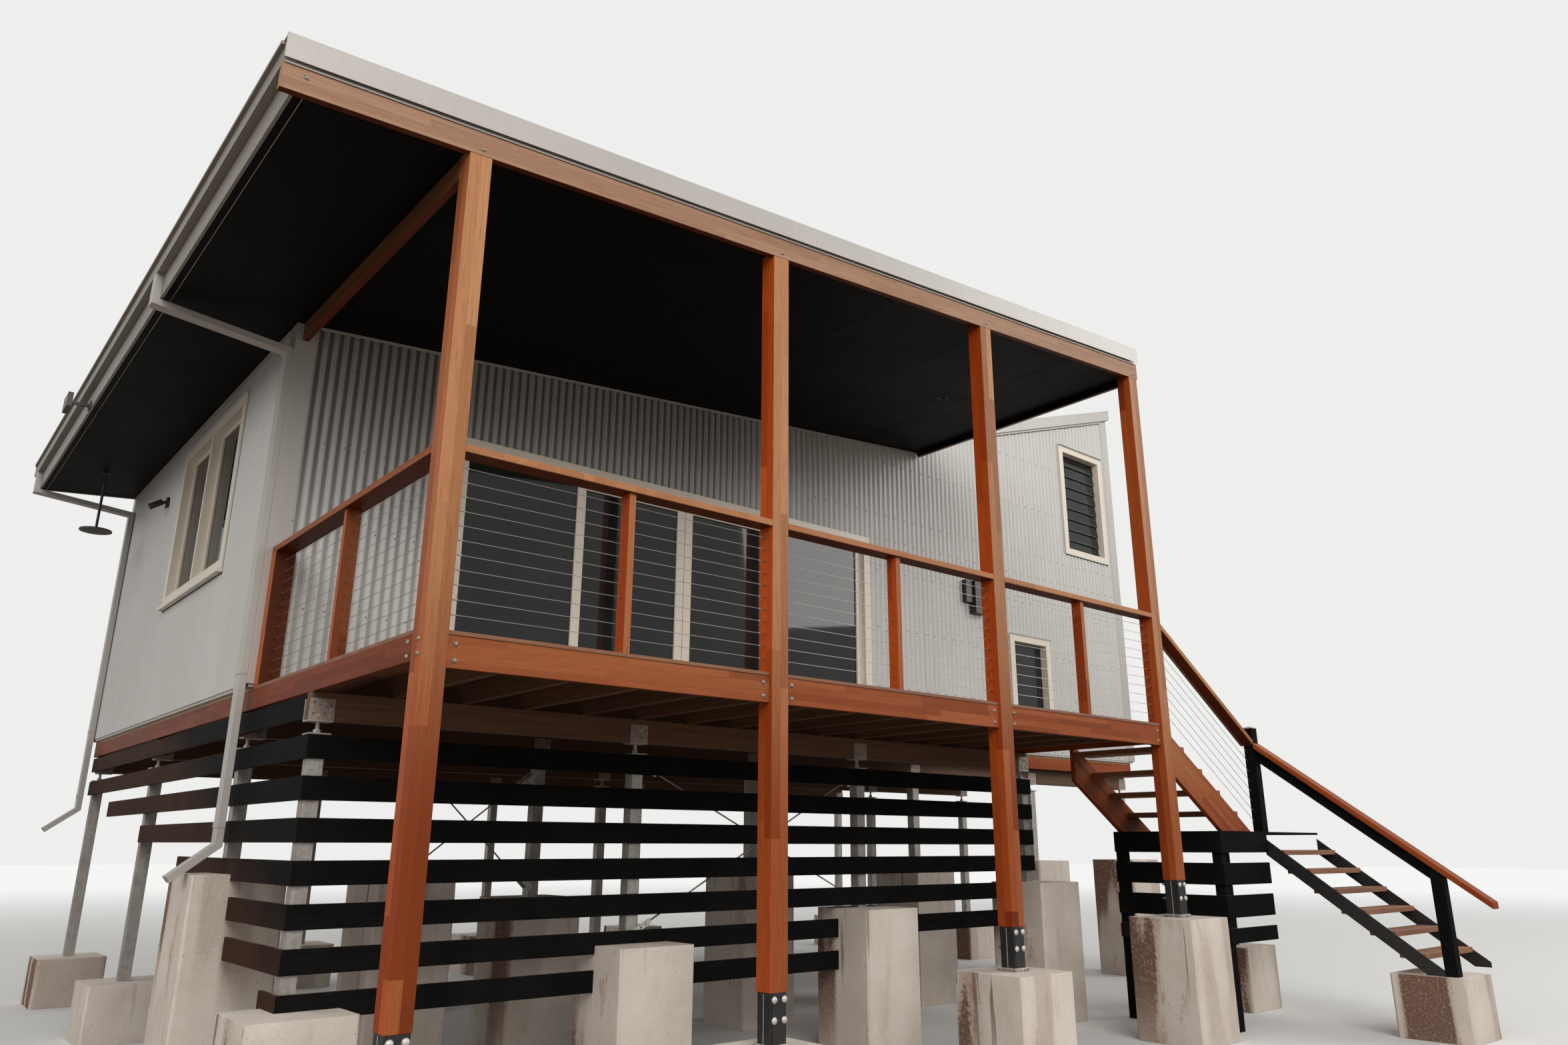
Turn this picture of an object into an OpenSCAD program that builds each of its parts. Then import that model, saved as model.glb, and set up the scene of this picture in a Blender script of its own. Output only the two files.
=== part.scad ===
// Raised timber-framed house on stumps, with a roofed timber deck on four tall posts,
// a cable balustrade and a two-flight stair.
// X runs right along the front of the deck, Y runs back, Z is up. Millimetres.
// The origin is the middle of the base of the front left pier.

/* [Deck] */
// Width of the square timber posts
post_w = 135; // [115:1:150]
// Distance between post centres
bay = 2270; // [1800:10:2600]
// Number of bays along the front
bays = 3; // [2:1:4]
// Depth from the front of the posts to the house cladding
deck_depth = 2900; // [2400:10:3400]
// Height of the deck boards above the lowest ground
deck_h = 2600; // [2550:10:3000]
// Thickness of the deck and floor boards
board_t = 22; // [19:1:32]
// Number of deck boards from front to back
board_n = 20; // [16:1:24]
// Gap between deck boards
board_gap = 5; // [3:1:8]
// Thickness of the joists and rim boards
joist_t = 45; // [35:1:50]
// Depth of the joists
joist_h = 140; // [120:1:160]
// Joists in each bay
joists_per_bay = 5; // [3:1:6]
// Depth of the front rim boards
rim_h = 170; // [150:1:200]
// Set-back of the rim boards behind the front of the posts
rim_back = 25; // [15:1:40]
// Overhang of the front deck board past the rim
nosing = 6; // [2:1:12]
// Width of the bearers that stand in the stump brackets
bearer_w = 90; // [70:1:110]
// Depth of the bearers
bearer_h = 170; // [140:1:200]

/* [Footings] */
// Side of the square concrete piers and blocks
pier_w = 600; // [450:10:700]
// Chamfer on the corners of the concrete
pier_chamfer = 18; // [8:1:30]
// Height of the two left piers
pier_h = 425; // [350:5:500]
// Extra height of the third pier, on higher ground
pier_step_3 = 265; // [100:5:300]
// Extra height of the fourth pier
pier_step_4 = 545; // [350:5:600]
// Height of the steel shoes under the posts
shoe_h = 300; // [220:5:340]
// Thickness of the shoe plates
shoe_t = 10; // [6:1:12]
// Open slot between neighbouring shoe plates
shoe_gap = 6; // [3:1:10]
// Side of the square steel stumps
stump_w = 90; // [75:1:100]
// Wall of the steel stumps
stump_wall = 4; // [3:0.5:6]
// Gap between stump head and bearer, taken up by the screw
screw_len = 68; // [60:1:120]
// Thickness of the bracket and head plates
plate_t = 8; // [5:1:12]
// Width of the bearer brackets
bracket_w = 150; // [120:1:170]
// Height of the bracket cheeks
bracket_h = 130; // [90:1:150]
// Distance from the front of the posts to the centre of the deck stump row
stump_row_y = 1645; // [1500:5:1800]

/* [House] */
// Width of the house frame
house_w = 10950; // [10000:10:12000]
// Depth of the house frame
house_d = 5740; // [5000:10:6500]
// Thickness of the framed and lined walls
wall_t = 120; // [100:1:150]
// Cladding crest in front of the rim boards
clad_out = 45; // [40:1:60]
// Depth of the corrugated cladding
clad_t = 18; // [16:1:24]
// Height of the cladding's lower edge above the floor
clad_lift = 20; // [5:1:40]
// Sliding door opening, from the left rim to its left side
door_x = 1300; // [1100:10:1500]
// Width of the sliding door opening
door_w = 4730; // [4400:10:4800]
// Height of the sliding door opening
door_h = 2150; // [2050:5:2250]
// Left window, from the front rim to its near side
side_window_y = 1190; // [1000:10:1400]
// Width of the left window
side_window_w = 1960; // [1600:10:2100]
// Sill height of the left window
side_window_sill = 1110; // [900:10:1300]
// Height of the left window
side_window_h = 1430; // [1200:10:1450]
// Louvre window, from its right side to the right end of the house
louvre_inset = 235; // [180:5:300]
// Width of the louvre window
louvre_w = 900; // [600:5:950]
// Sill height of the louvre window
louvre_sill = 2715; // [2500:5:2900]
// Height of the louvre window
louvre_h = 1450; // [1200:5:1500]
// Wall between the small window and the louvre window
window_pier = 595; // [500:5:700]
// Width of the small window
small_window_w = 710; // [500:5:800]
// Sill height of the small window
small_window_sill = 300; // [200:5:500]
// Height of the small window
small_window_h = 1090; // [900:5:1200]
// Width of the window and door trims
trim_w = 45; // [35:1:60]

/* [Roof] */
// Overhang of the deck roof past the left rim
eave = 1030; // [800:10:1200]
// Height of the eave beam's underside above the deck
eave_clear = 2660; // [2500:10:2800]
// Pitch of the deck roof
low_pitch = 5.11; // [3:0.01:6]
// Pitch of the right-hand roof
high_pitch = 18.3; // [12:0.1:20]
// Depth of the front roof beam
beam_h = 160; // [140:1:200]
// Thickness of the front roof beam
beam_t = 45; // [35:1:60]
// Visible depth of the side beam below the soffit
side_beam_h = 142; // [110:1:160]
// Thickness of the folded fascia along the left eave
fascia_t = 20; // [15:1:30]
// Height of the soffit above the beam's underside
soffit_lift = 30; // [10:1:60]
// Width of the soffit panels
soffit_pitch = 1180; // [900:10:1220]
// Thickness of the soffit panels
soffit_t = 12; // [9:1:16]
// Depth of the purlins over the soffit
purlin_h = 250; // [200:5:300]
// Depth of the purlins of the right-hand roof
high_purlin_h = 120; // [100:5:150]
// Depth of the corrugated roof sheets
roof_sheet_t = 20; // [16:1:25]
// Height of the roof edge caps
cap_h = 150; // [120:1:180]
// Thickness of the roof edge caps and gutter
cap_t = 3; // [2:0.5:5]
// How far the caps stand in front of the beam
cap_out = 30; // [20:1:50]
// Width of the box gutter's floor
gutter_w = 50; // [45:1:90]
// Height of the box gutter
gutter_h = 125; // [100:1:140]
// How far the gutter's front lip is rolled outwards
gutter_bead = 21; // [12:1:30]
// Width of the downpipes
pipe_w = 100; // [80:1:110]
// Depth of the downpipes
pipe_d = 50; // [45:1:75]

/* [Balustrade] */
// Height of the handrail above the deck
rail_top = 1003; // [950:1:1100]
// Thickness of the handrail
rail_t = 45; // [35:1:60]
// Number of cables
cable_n = 11; // [9:1:12]
// Spacing of the cables
cable_pitch = 80; // [70:1:82]
// Height of the lowest cable above the deck
cable_low = 90; // [70:1:100]
// Diameter of the cables
cable_d = 4; // [3:0.2:5]
// Diameter of the swaged cable ends
swage_d = 9; // [7:0.5:12]
// Length of the swaged cable ends
swage_len = 55; // [40:1:80]
// Thickness of the middle balusters
baluster_t = 45; // [35:1:60]
// Depth of the middle balusters
baluster_w = 90; // [70:1:110]

/* [Slat screens] */
// Height of the slats
slat_h = 140; // [120:1:160]
// Distance from slat to slat
slat_pitch = 240; // [200:1:260]
// Thickness of the slats
slat_t = 22; // [19:1:30]
// Number of slat rows
slat_rows = 8; // [5:1:9]

/* [Stair] */
// Height of one riser in the upper flight
riser = 183; // [170:1:190]
// Going of one tread in the upper flight
going = 285; // [250:1:300]
// Risers in the upper flight
upper_risers = 5; // [4:1:6]
// Width of both flights
stair_w = 1000; // [900:10:1200]
// Thickness of the stringers
stringer_t = 45; // [38:1:60]
// Depth of the stringers across their slope
stringer_h = 290; // [240:1:300]
// Thickness of the treads
tread_t = 45; // [38:1:60]
// Depth of the treads
tread_d = 270; // [240:1:290]
// Height of one riser in the lower flight
lower_riser = 168; // [160:1:175]
// Going of one tread in the lower flight
lower_going = 222; // [215:1:260]
// Risers in the lower flight
lower_risers = 7; // [6:1:7]
// Width of the landing along X
landing_w = 2000; // [1700:10:2100]
// Side of the black newel posts
newel_w = 100; // [80:1:110]

/* [Hidden] */
$fn = 48;
half = post_w / 2;
touch = 0.3;
front = -half;
deck_right = bays * bay + half;
deck_z = deck_h;
joist_top = deck_z - board_t;
bearer_top = joist_top - joist_h;
bearer_under = bearer_top - bearer_h;
stump_top = bearer_under - plate_t - screw_len;
cheek_t = 5;
cheek_y = bearer_w / 2 + touch;
post_x = [for (i = [0:bays]) i * bay];
pier_tops = [for (i = [0:bays]) pier_h + (i == 2 ? pier_step_3 : 0) + (i > 2 ? pier_step_4 : 0)];

house_left = -half;
house_right = house_left + house_w;
house_front = front + deck_depth + clad_out;
house_back = house_front + house_d;
crest_left = house_left - clad_out;
crest_right = house_right + clad_out;
crest_front = house_front - clad_out;
crest_back = house_back + clad_out;
wall_left = crest_left + clad_t;
wall_right = crest_right - clad_t;
wall_front = crest_front + clad_t;
wall_back = crest_back - clad_t;

eave_x = house_left - eave;
ridge_x = deck_right;
roof_right = crest_right + 2 * cap_out;
roof_back = crest_back + cap_out;
low_rise = tan(low_pitch);
high_rise = tan(high_pitch);

function beam_under(x) = deck_z + eave_clear + low_rise * (x - eave_x);
function soffit_under(x) = beam_under(x) + soffit_lift;
function purlin_under(x) = soffit_under(x) + soffit_t + touch;
function low_sheet_under(x) = purlin_under(x) + purlin_h + touch;
function high_sheet_under(x) = low_sheet_under(ridge_x) + high_rise * (x - ridge_x);
function sheet_under(x) = x < ridge_x ? low_sheet_under(x) : high_sheet_under(x);
function wall_top(x) = x < ridge_x ? soffit_under(x) - touch : high_sheet_under(x) - high_purlin_h - 2 * touch;
function cap_top(x) = sheet_under(x) + roof_sheet_t + touch + cap_t;

// Box from three [low, high] spans
module block(x, y, z) {
    translate([x[0], y[0], z[0]])
        cube([x[1] - x[0], y[1] - y[0], z[1] - z[0]]);
}

// Profile of [x, z] points, run along Y
module along_y(y, points) {
    translate([0, y[1], 0])
        rotate([90, 0, 0])
            linear_extrude(y[1] - y[0])
                polygon(points);
}

// Profile of [y, z] points, run along X
module along_x(x, points) {
    translate([x[0], 0, 0])
        rotate([90, 0, 90])
            linear_extrude(x[1] - x[0])
                polygon(points);
}

// Concrete block with chamfered corners
module concrete(x, y, top) {
    c = pier_chamfer;
    w = pier_w / 2;
    translate([x, y, 0])
        linear_extrude(top)
            polygon([
                [-w + c, -w], [w - c, -w], [w, -w + c], [w, w - c],
                [w - c, w], [-w + c, w], [-w, w - c], [-w, -w + c]
            ]);
}

module front_piers() {
    color("gainsboro")
        for (i = [0:bays])
            concrete(post_x[i], 0, pier_tops[i]);
}

// Stumps: rows from front to back, each with its block height
stump_y = [
    front + stump_row_y,
    house_front + 155,
    house_front + house_d / 2,
    house_back - 155
];
house_stump_x = concat(post_x, [
    (deck_right + house_right) / 2,
    house_right - half
]);
wall_stump_x = 1205;
row_top = [
    [650, 895, 1060, 1220],
    [1360, 1300, 1150, 1340, 1360, 1380, 1380],
    [450, 450, 450, 450, 450, 450],
    [450, 450, 450, 450, 450, 450]
];
function stump_xs(row) =
    row == 0 ? post_x
    : row == 1 ? concat([0, wall_stump_x], [for (k = [1:len(house_stump_x) - 1]) house_stump_x[k]])
    : house_stump_x;
function block_top(row, i) = row_top[row][min(i, len(row_top[row]) - 1)];
block_forward = [100, 0, 0, 0];
landing_block_top = 590;
landing_block_x = 1470;
landing_block_y = 770;

module stump_blocks() {
    color("silver")
        for (row = [0:len(stump_y) - 1])
            for (i = [0:len(stump_xs(row)) - 1])
                concrete(stump_xs(row)[i], stump_y[row] - block_forward[row], block_top(row, i));
    color("silver") {
        concrete(lower_foot_x, lower_foot_y, lower_foot_z);
        concrete(landing_x + landing_block_x, front + landing_block_y, landing_block_top);
    }
}

screw_d = 24;
nut_w = 46;
nut_h = 24;
head_over = 20;

// Square steel stump with head plate, levelling screw, nut and bearer bracket
module stump(x, y, foot, shift) {
    w = stump_w / 2;
    inner = w - stump_wall;
    plate_w = w + head_over;
    translate([x, y, 0]) {
        difference() {
            block([-w, w], [-w, w], [foot, stump_top - plate_t]);
            block([-inner, inner], [-inner, inner], [foot + plate_t, stump_top - 2 * plate_t]);
        }
        block([-plate_w, plate_w], [-plate_w, plate_w], [stump_top - plate_t, stump_top]);
        translate([0, 0, stump_top])
            cylinder(d = screw_d, h = screw_len);
        translate([0, 0, stump_top])
            cylinder(d = nut_w, h = nut_h, $fn = 6);
        translate([0, 0, bearer_under - plate_t])
            block([shift - bracket_w / 2, shift + bracket_w / 2],
                  [-cheek_y - cheek_t, cheek_y + cheek_t], [0, plate_t]);
        for (side = [0, 1])
            mirror([0, side, 0])
                block([shift - bracket_w / 2, shift + bracket_w / 2], [cheek_y, cheek_y + cheek_t],
                      [bearer_under, bearer_under + bracket_h]);
    }
}

// Behind the first row the left brackets sit further right, clear of the slats
slat_shift = bracket_w / 2 - stump_w / 2;

module steel_stumps() {
    color("lightsteelblue")
        for (row = [0:len(stump_y) - 1])
            for (i = [0:len(stump_xs(row)) - 1])
                stump(stump_xs(row)[i], stump_y[row], block_top(row, i),
                      row > 0 && i == 0 ? slat_shift : 0);
}

// Tie rod with a lug at each end, on the line between two points of two upright faces
tie_d = 12;
lug_len = 150;
lug_h = 40;
lug_t = 4;
brace_high = 70;
brace_low = 60;
tie_lane = 13;

module tie(from, to, y) {
    slope = atan2(to[1] - from[1], to[0] - from[0]);
    end_gap = (lug_h / 2 * abs(sin(slope)) + touch) / cos(slope);
    length = norm(to - from) - 2 * end_gap;
    translate([from[0], y, from[1]])
        rotate([0, -slope, 0])
            translate([end_gap, 0, 0]) {
                rotate([0, 90, 0])
                    cylinder(d = tie_d, h = length);
                for (x = [0, length - lug_len])
                    translate([x, -tie_d / 2 - lug_t / 2, -lug_h / 2])
                        cube([lug_len, lug_t, lug_h]);
            }
}

// Two crossed ties between neighbouring stumps of a row
module brace_bay(row, i) {
    left = stump_xs(row)[i] + stump_w / 2;
    right = stump_xs(row)[i + 1] - stump_w / 2;
    high = stump_top - brace_high;
    low_left = block_top(row, i) + brace_low;
    low_right = block_top(row, i + 1) + brace_low;
    tie([left, high], [right, low_right], stump_y[row] - tie_lane);
    tie([left, low_left], [right, high], stump_y[row] + tie_lane);
}

module cross_braces() {
    color("silver") {
        brace_bay(0, 1);
        brace_bay(1, 1);
    }
}

base_over = 8;

// Steel shoe: four plates round the post's tongue, on a base plate
module post_shoe(x, foot) {
    slot = shoe_gap + shoe_t;
    translate([x, 0, 0]) {
        block([-half - base_over, half + base_over], [-half - base_over, half + base_over],
              [foot, foot + shoe_t]);
        for (turn = [0:3])
            rotate([0, 0, 90 * turn])
                block([-half + slot, half - (turn % 2 == 0 ? slot : 0)], [-half, -half + shoe_t],
                      [foot + shoe_t, foot + shoe_h]);
    }
}

module post_shoes() {
    color("dimgray")
        for (i = [0:bays])
            post_shoe(post_x[i], pier_tops[i]);
}

// Post from shoe to roof, with a tongue in the shoe and a seat for the roof beam
module deck_post(i) {
    x = post_x[i];
    foot = pier_tops[i] + shoe_h;
    tongue = half - shoe_t - touch;
    back = front + beam_t;
    union() {
        difference() {
            along_y([front, half], [
                [x - half, foot], [x + half, foot],
                [x + half, beam_under(x + half) + beam_h],
                [x - half, beam_under(x - half) + beam_h]
            ]);
            along_y([front - 1, back], [
                [x - half - 1, beam_under(x - half - 1) - touch],
                [x + half + 1, beam_under(x + half + 1) - touch],
                [x + half + 1, beam_under(x + half) + 2 * beam_h],
                [x - half - 1, beam_under(x - half) + 2 * beam_h]
            ]);
        }
        block([x - tongue, x + tongue], [-tongue, tongue], [pier_tops[i] + 2 * shoe_t, foot]);
    }
}

module deck_posts() {
    color("sienna")
        for (i = [0:bays])
            deck_post(i);
}

module bearers() {
    color("saddlebrown")
        for (row = [0:len(stump_y) - 1])
            block([row == 0 ? house_left : slat_left + slat_t, row == 0 ? deck_right : house_right],
                  [stump_y[row] - bearer_w / 2, stump_y[row] + bearer_w / 2],
                  [bearer_under, bearer_top]);
}

rim_y = front + rim_back;

module rim_boards() {
    color("chocolate") {
        for (i = [0:bays - 1])
            block([post_x[i] + half, post_x[i + 1] - half], [rim_y, rim_y + joist_t],
                  [joist_top - rim_h, joist_top]);
        block([house_left, house_left + joist_t], [half, house_back], [bearer_top, joist_top]);
        block([deck_right - joist_t, deck_right], [half, house_front - touch], [bearer_top, joist_top]);
        block([house_right - joist_t, house_right], [house_front, house_back], [bearer_top, joist_top]);
        for (y = [house_front, house_back - joist_t])
            block([house_left + joist_t + touch, house_right - joist_t - touch], [y, y + joist_t],
                  [bearer_top, joist_top]);
    }
}

joist_pitch = bay / joists_per_bay;

module joists() {
    color("peru") {
        for (k = [1:bays * joists_per_bay - 1])
            block([k * joist_pitch - joist_t / 2, k * joist_pitch + joist_t / 2],
                  [k % joists_per_bay == 0 ? half : rim_y + joist_t, house_front],
                  [bearer_top, joist_top]);
        for (x = [joist_pitch:joist_pitch:house_right - joist_pitch / 2])
            block([x - joist_t / 2, x + joist_t / 2],
                  [house_front + joist_t, house_back - joist_t], [bearer_top, joist_top]);
    }
}

notch_gap = 2;
board_front = rim_y - nosing;
board_pitch = (crest_front - board_front) / board_n;

module deck_boards() {
    color("peru")
        difference() {
            for (k = [0:board_n - 1])
                block([house_left, deck_right],
                      [board_front + k * board_pitch, board_front + (k + 1) * board_pitch - board_gap],
                      [joist_top, deck_z]);
            for (x = post_x)
                block([x - half - notch_gap, x + half + notch_gap], [front - 1, half + notch_gap],
                      [joist_top - 1, deck_z + 1]);
        }
}

module house_floor() {
    color("burlywood")
        block([house_left, house_right], [house_front, house_back], [joist_top, deck_z]);
}

// Upper edge of a wall between two X values, bent where the roof pitch changes
function wall_edge(x0, x1) = concat(
    [[x1, wall_top(x1)]],
    x0 < ridge_x && x1 > ridge_x ? [[ridge_x, wall_top(ridge_x + 0.01)], [ridge_x, wall_top(ridge_x - 0.01)]] : [],
    [[x0, wall_top(x0)]]
);

module wall_along_x(x, y, low) {
    along_y(y, concat([[x[0], low], [x[1], low]], wall_edge(x[0], x[1])));
}

door_left = house_left + door_x;
door_right = door_left + door_w;
door_top = deck_z + door_h;

module front_wall_left() {
    color("white")
        wall_along_x([wall_left + wall_t, door_left], [wall_front, wall_front + wall_t], deck_z);
}

module front_wall_over_door() {
    color("white")
        wall_along_x([door_left, door_right], [wall_front, wall_front + wall_t], door_top);
}

louvre_left = house_right - louvre_inset - louvre_w;
small_left = louvre_left - window_pier - small_window_w;

module louvre_hole(grow, y) {
    block([louvre_left - grow, louvre_left + louvre_w + grow], y,
          [deck_z + louvre_sill - grow, deck_z + louvre_sill + louvre_h + grow]);
}

module small_hole(grow, y) {
    block([small_left - grow, small_left + small_window_w + grow], y,
          [deck_z + small_window_sill - grow, deck_z + small_window_sill + small_window_h + grow]);
}

side_near = house_front + side_window_y;

module side_hole(grow, x) {
    block(x, [side_near - grow, side_near + side_window_w + grow],
          [deck_z + side_window_sill - grow, deck_z + side_window_sill + side_window_h + grow]);
}

module front_wall_right() {
    color("white")
        difference() {
            wall_along_x([door_right, wall_right - wall_t], [wall_front, wall_front + wall_t], deck_z);
            louvre_hole(0, [crest_front - 1, wall_front + wall_t + 1]);
            small_hole(0, [crest_front - 1, wall_front + wall_t + 1]);
        }
}

module left_wall() {
    color("white")
        difference() {
            along_y([wall_front, wall_back], [
                [wall_left, deck_z], [wall_left + wall_t, deck_z],
                [wall_left + wall_t, wall_top(wall_left + wall_t)], [wall_left, wall_top(wall_left)]
            ]);
            side_hole(0, [wall_left - 1, wall_left + wall_t + 1]);
        }
}

module back_wall() {
    color("white")
        wall_along_x([wall_left + wall_t, wall_right - wall_t], [wall_back - wall_t, wall_back], deck_z);
}

module right_wall() {
    color("white")
        along_y([wall_front, wall_back], [
            [wall_right - wall_t, deck_z], [wall_right, deck_z],
            [wall_right, wall_top(wall_right)], [wall_right - wall_t, wall_top(wall_right - wall_t)]
        ]);
}

// Corrugated steel sheets on the outside of the walls
module wall_cladding() {
    low = deck_z + clad_lift;
    color("gainsboro") {
        difference() {
            wall_along_x([crest_left, crest_right], [crest_front, wall_front], low);
            block([door_left, door_right], [crest_front - 1, wall_front + 1], [low - 1, door_top]);
            louvre_hole(0, [crest_front - 1, wall_front + 1]);
            small_hole(0, [crest_front - 1, wall_front + 1]);
        }
        wall_along_x([crest_left, crest_right], [wall_back, crest_back], low);
        difference() {
            along_y([wall_front, wall_back], [
                [crest_left, low], [wall_left, low],
                [wall_left, wall_top(wall_left)], [crest_left, wall_top(crest_left)]
            ]);
            side_hole(0, [crest_left - 1, wall_left + 1]);
        }
        along_y([wall_front, wall_back], [
            [wall_right, low], [crest_right, low],
            [crest_right, wall_top(crest_right)], [wall_right, wall_top(wall_right)]
        ]);
    }
}

flash_w = 150;
flash_t = 3;

// Folded flashings over the upright corners of the cladding
module corner_flashings() {
    low = deck_z + clad_lift;
    color("gainsboro")
        for (side = [0, 1])
            for (end = [0, 1]) {
                x = side == 0 ? crest_left : crest_right;
                y = end == 0 ? crest_front : crest_back;
                inward = side == 0 ? 1 : -1;
                back = end == 0 ? 1 : -1;
                top = wall_top(x);
                linear_top = min(top, wall_top(x + inward * flash_w)) - 1;
                translate([x, y, low])
                    scale([inward, back, 1])
                        linear_extrude(linear_top - low)
                            polygon([
                                [-flash_t, -flash_t], [flash_w, -flash_t], [flash_w, 0],
                                [0, 0], [0, flash_w], [-flash_t, flash_w]
                            ]);
            }
}

frame_t = 40;
frame_out = 15;
sill_out = 45;
sill_h = 30;
sash_t = 35;
sill_over = 10;

// Window frame in a wall along X: lining in the opening and a trim over the cladding
module frame_along_x(x, z) {
    y = [crest_front - frame_out, wall_front + wall_t];
    difference() {
        union() {
            block([x[0] - trim_w, x[1] + trim_w], [crest_front - frame_out, crest_front],
                  [z[0] - trim_w, z[1] + trim_w]);
            block(x, [crest_front - 1, y[1]], z);
        }
        block([x[0] + frame_t, x[1] - frame_t], [y[0] - 1, y[1] + 1], [z[0] + frame_t, z[1] - frame_t]);
    }
}

// Sash of the left window, set in its half of the frame round the glass
module sash(n) {
    x = wall_left + wall_t / 2 - sash_t / 2;
    w = side_window_w / 2 - frame_t * 1.5;
    z = [deck_z + side_window_sill + frame_t, deck_z + side_window_sill + side_window_h - frame_t];
    translate([x, side_near + frame_t + n * (side_window_w - frame_t) / 2, 0])
        difference() {
            block([0, sash_t], [0, w], z);
            block([-1, sash_t + 1], [sash_t, w - sash_t], [z[0] + sash_t, z[1] - sash_t]);
        }
}

module window_frames() {
    color("antiquewhite") {
        frame_along_x([louvre_left, louvre_left + louvre_w],
                      [deck_z + louvre_sill, deck_z + louvre_sill + louvre_h]);
        frame_along_x([small_left, small_left + small_window_w],
                      [deck_z + small_window_sill, deck_z + small_window_sill + small_window_h]);
        difference() {
            union() {
                side_hole(trim_w, [crest_left - frame_out, crest_left]);
                side_hole(0, [crest_left - 1, wall_left + wall_t]);
            }
            for (sash = [0, 1])
                translate([0, sash * (side_window_w - frame_t) / 2, 0])
                    block([crest_left - 50, wall_left + wall_t + 1],
                          [side_near + frame_t, side_near + side_window_w / 2 - frame_t / 2],
                          [deck_z + side_window_sill + frame_t,
                           deck_z + side_window_sill + side_window_h - frame_t]);
        }
        block([crest_left - sill_out, crest_left],
              [side_near - trim_w - sill_over, side_near + side_window_w + trim_w + sill_over],
              [deck_z + side_window_sill - trim_w - sill_h, deck_z + side_window_sill - trim_w]);
        sash(0);
        sash(1);
    }
}

glass_t = 6;
glass_y = wall_front + wall_t / 2;

module fixed_glass() {
    color("lightblue", 0.5) {
        block([small_left + frame_t, small_left + small_window_w - frame_t],
              [glass_y, glass_y + glass_t],
              [deck_z + small_window_sill + frame_t,
               deck_z + small_window_sill + small_window_h - frame_t]);
        for (sash = [0, 1])
            translate([0, sash * (side_window_w - frame_t) / 2, 0])
                block([wall_left + wall_t / 2, wall_left + wall_t / 2 + glass_t],
                      [side_near + frame_t + sash_t, side_near + side_window_w / 2 - frame_t / 2 - sash_t],
                      [deck_z + side_window_sill + frame_t + sash_t,
                       deck_z + side_window_sill + side_window_h - frame_t - sash_t]);
        leaf_glass(clear_left, leaf_w, track_y, fixed_z);
        leaf_glass(clear_left + clear_w - leaf_w, leaf_w, track_y, fixed_z);
    }
}

blade_h = 150;
blade_tilt = 8;

module louvre_blades() {
    low = deck_z + louvre_sill + frame_t;
    high = deck_z + louvre_sill + louvre_h - frame_t;
    count = floor((high - low) / blade_h);
    pitch = (high - low) / count;
    color("lightblue", 0.5)
        for (k = [0:count - 1])
            translate([louvre_left + frame_t, glass_y, low + (k + 0.5) * pitch])
                rotate([-blade_tilt, 0, 0])
                    translate([0, -glass_t / 2, -pitch / 2 + 1])
                        cube([louvre_w - 2 * frame_t, glass_t, pitch - 2]);
}

// Sliding doors: fixed leaves on the outer track, moving leaves on the inner track
leaf_t = 40;
leaf_clear = 6;
stile_w = 85;
door_frame_t = 45;
track_in = 12;
track_y = wall_front + track_in;
inner_track_y = track_y + leaf_t + leaf_clear;
clear_left = door_left + door_frame_t;
clear_w = door_w - 2 * door_frame_t;
leaf_w = clear_w / 4 + stile_w / 2;
sill_rise = 30;
leaf_low = deck_z + sill_rise;
track_rib_w = 8;
track_rib_h = 5;
roller_y = inner_track_y + leaf_t / 2;
leaf_high = door_top - door_frame_t;

// Frame of one door leaf, from x for width w
module leaf_frame(x, w, y, z) {
    difference() {
        block([x, x + w], [y, y + leaf_t], z);
        block([x + stile_w, x + w - stile_w], [y - 1, y + leaf_t + 1],
              [z[0] + stile_w, z[1] - stile_w]);
    }
}

module leaf_glass(x, w, y, z) {
    block([x + stile_w, x + w - stile_w], [y + leaf_t / 2 - glass_t / 2, y + leaf_t / 2 + glass_t / 2],
          [z[0] + stile_w, z[1] - stile_w]);
}

fixed_z = [leaf_low, leaf_high];
moving_z = [leaf_low + track_rib_h + leaf_clear, leaf_high - leaf_clear];
moving_gap = leaf_clear;
moving_left_x = clear_left + clear_w / 2 - leaf_w - moving_gap / 2;
moving_right_x = clear_left + clear_w / 2 + moving_gap / 2;
roller_d = 24;
roller_inset = 150;

module door_frame() {
    color("antiquewhite") {
        difference() {
            union() {
                block([door_left - trim_w, door_right + trim_w],
                      [crest_front - frame_out, crest_front], [deck_z, door_top + trim_w]);
                block([door_left, door_right], [crest_front - 1, wall_front + wall_t],
                      [deck_z, door_top]);
            }
            block([clear_left, clear_left + clear_w], [crest_front - 50, wall_front + wall_t + 1],
                  [leaf_low, leaf_high]);
        }
        leaf_frame(clear_left, leaf_w, track_y, fixed_z);
        leaf_frame(clear_left + clear_w - leaf_w, leaf_w, track_y, fixed_z);
        block([clear_left, clear_left + clear_w],
              [roller_y - track_rib_w / 2, roller_y + track_rib_w / 2],
              [leaf_low, leaf_low + track_rib_h]);
    }
}

// Leaf with two rollers that run on the rib of the sill
module moving_leaf(x) {
    leaf_frame(x, leaf_w, inner_track_y, moving_z);
    for (roller_x = [x + roller_inset, x + leaf_w - roller_inset])
        translate([roller_x, roller_y + track_rib_w / 2, leaf_low + track_rib_h + touch + roller_d / 2])
            rotate([90, 0, 0])
                cylinder(d = roller_d, h = track_rib_w);
}

module left_door_leaf() {
    color("antiquewhite")
        moving_leaf(moving_left_x);
}

module left_door_glass() {
    color("lightblue", 0.5)
        leaf_glass(moving_left_x, leaf_w, inner_track_y, moving_z);
}

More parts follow.
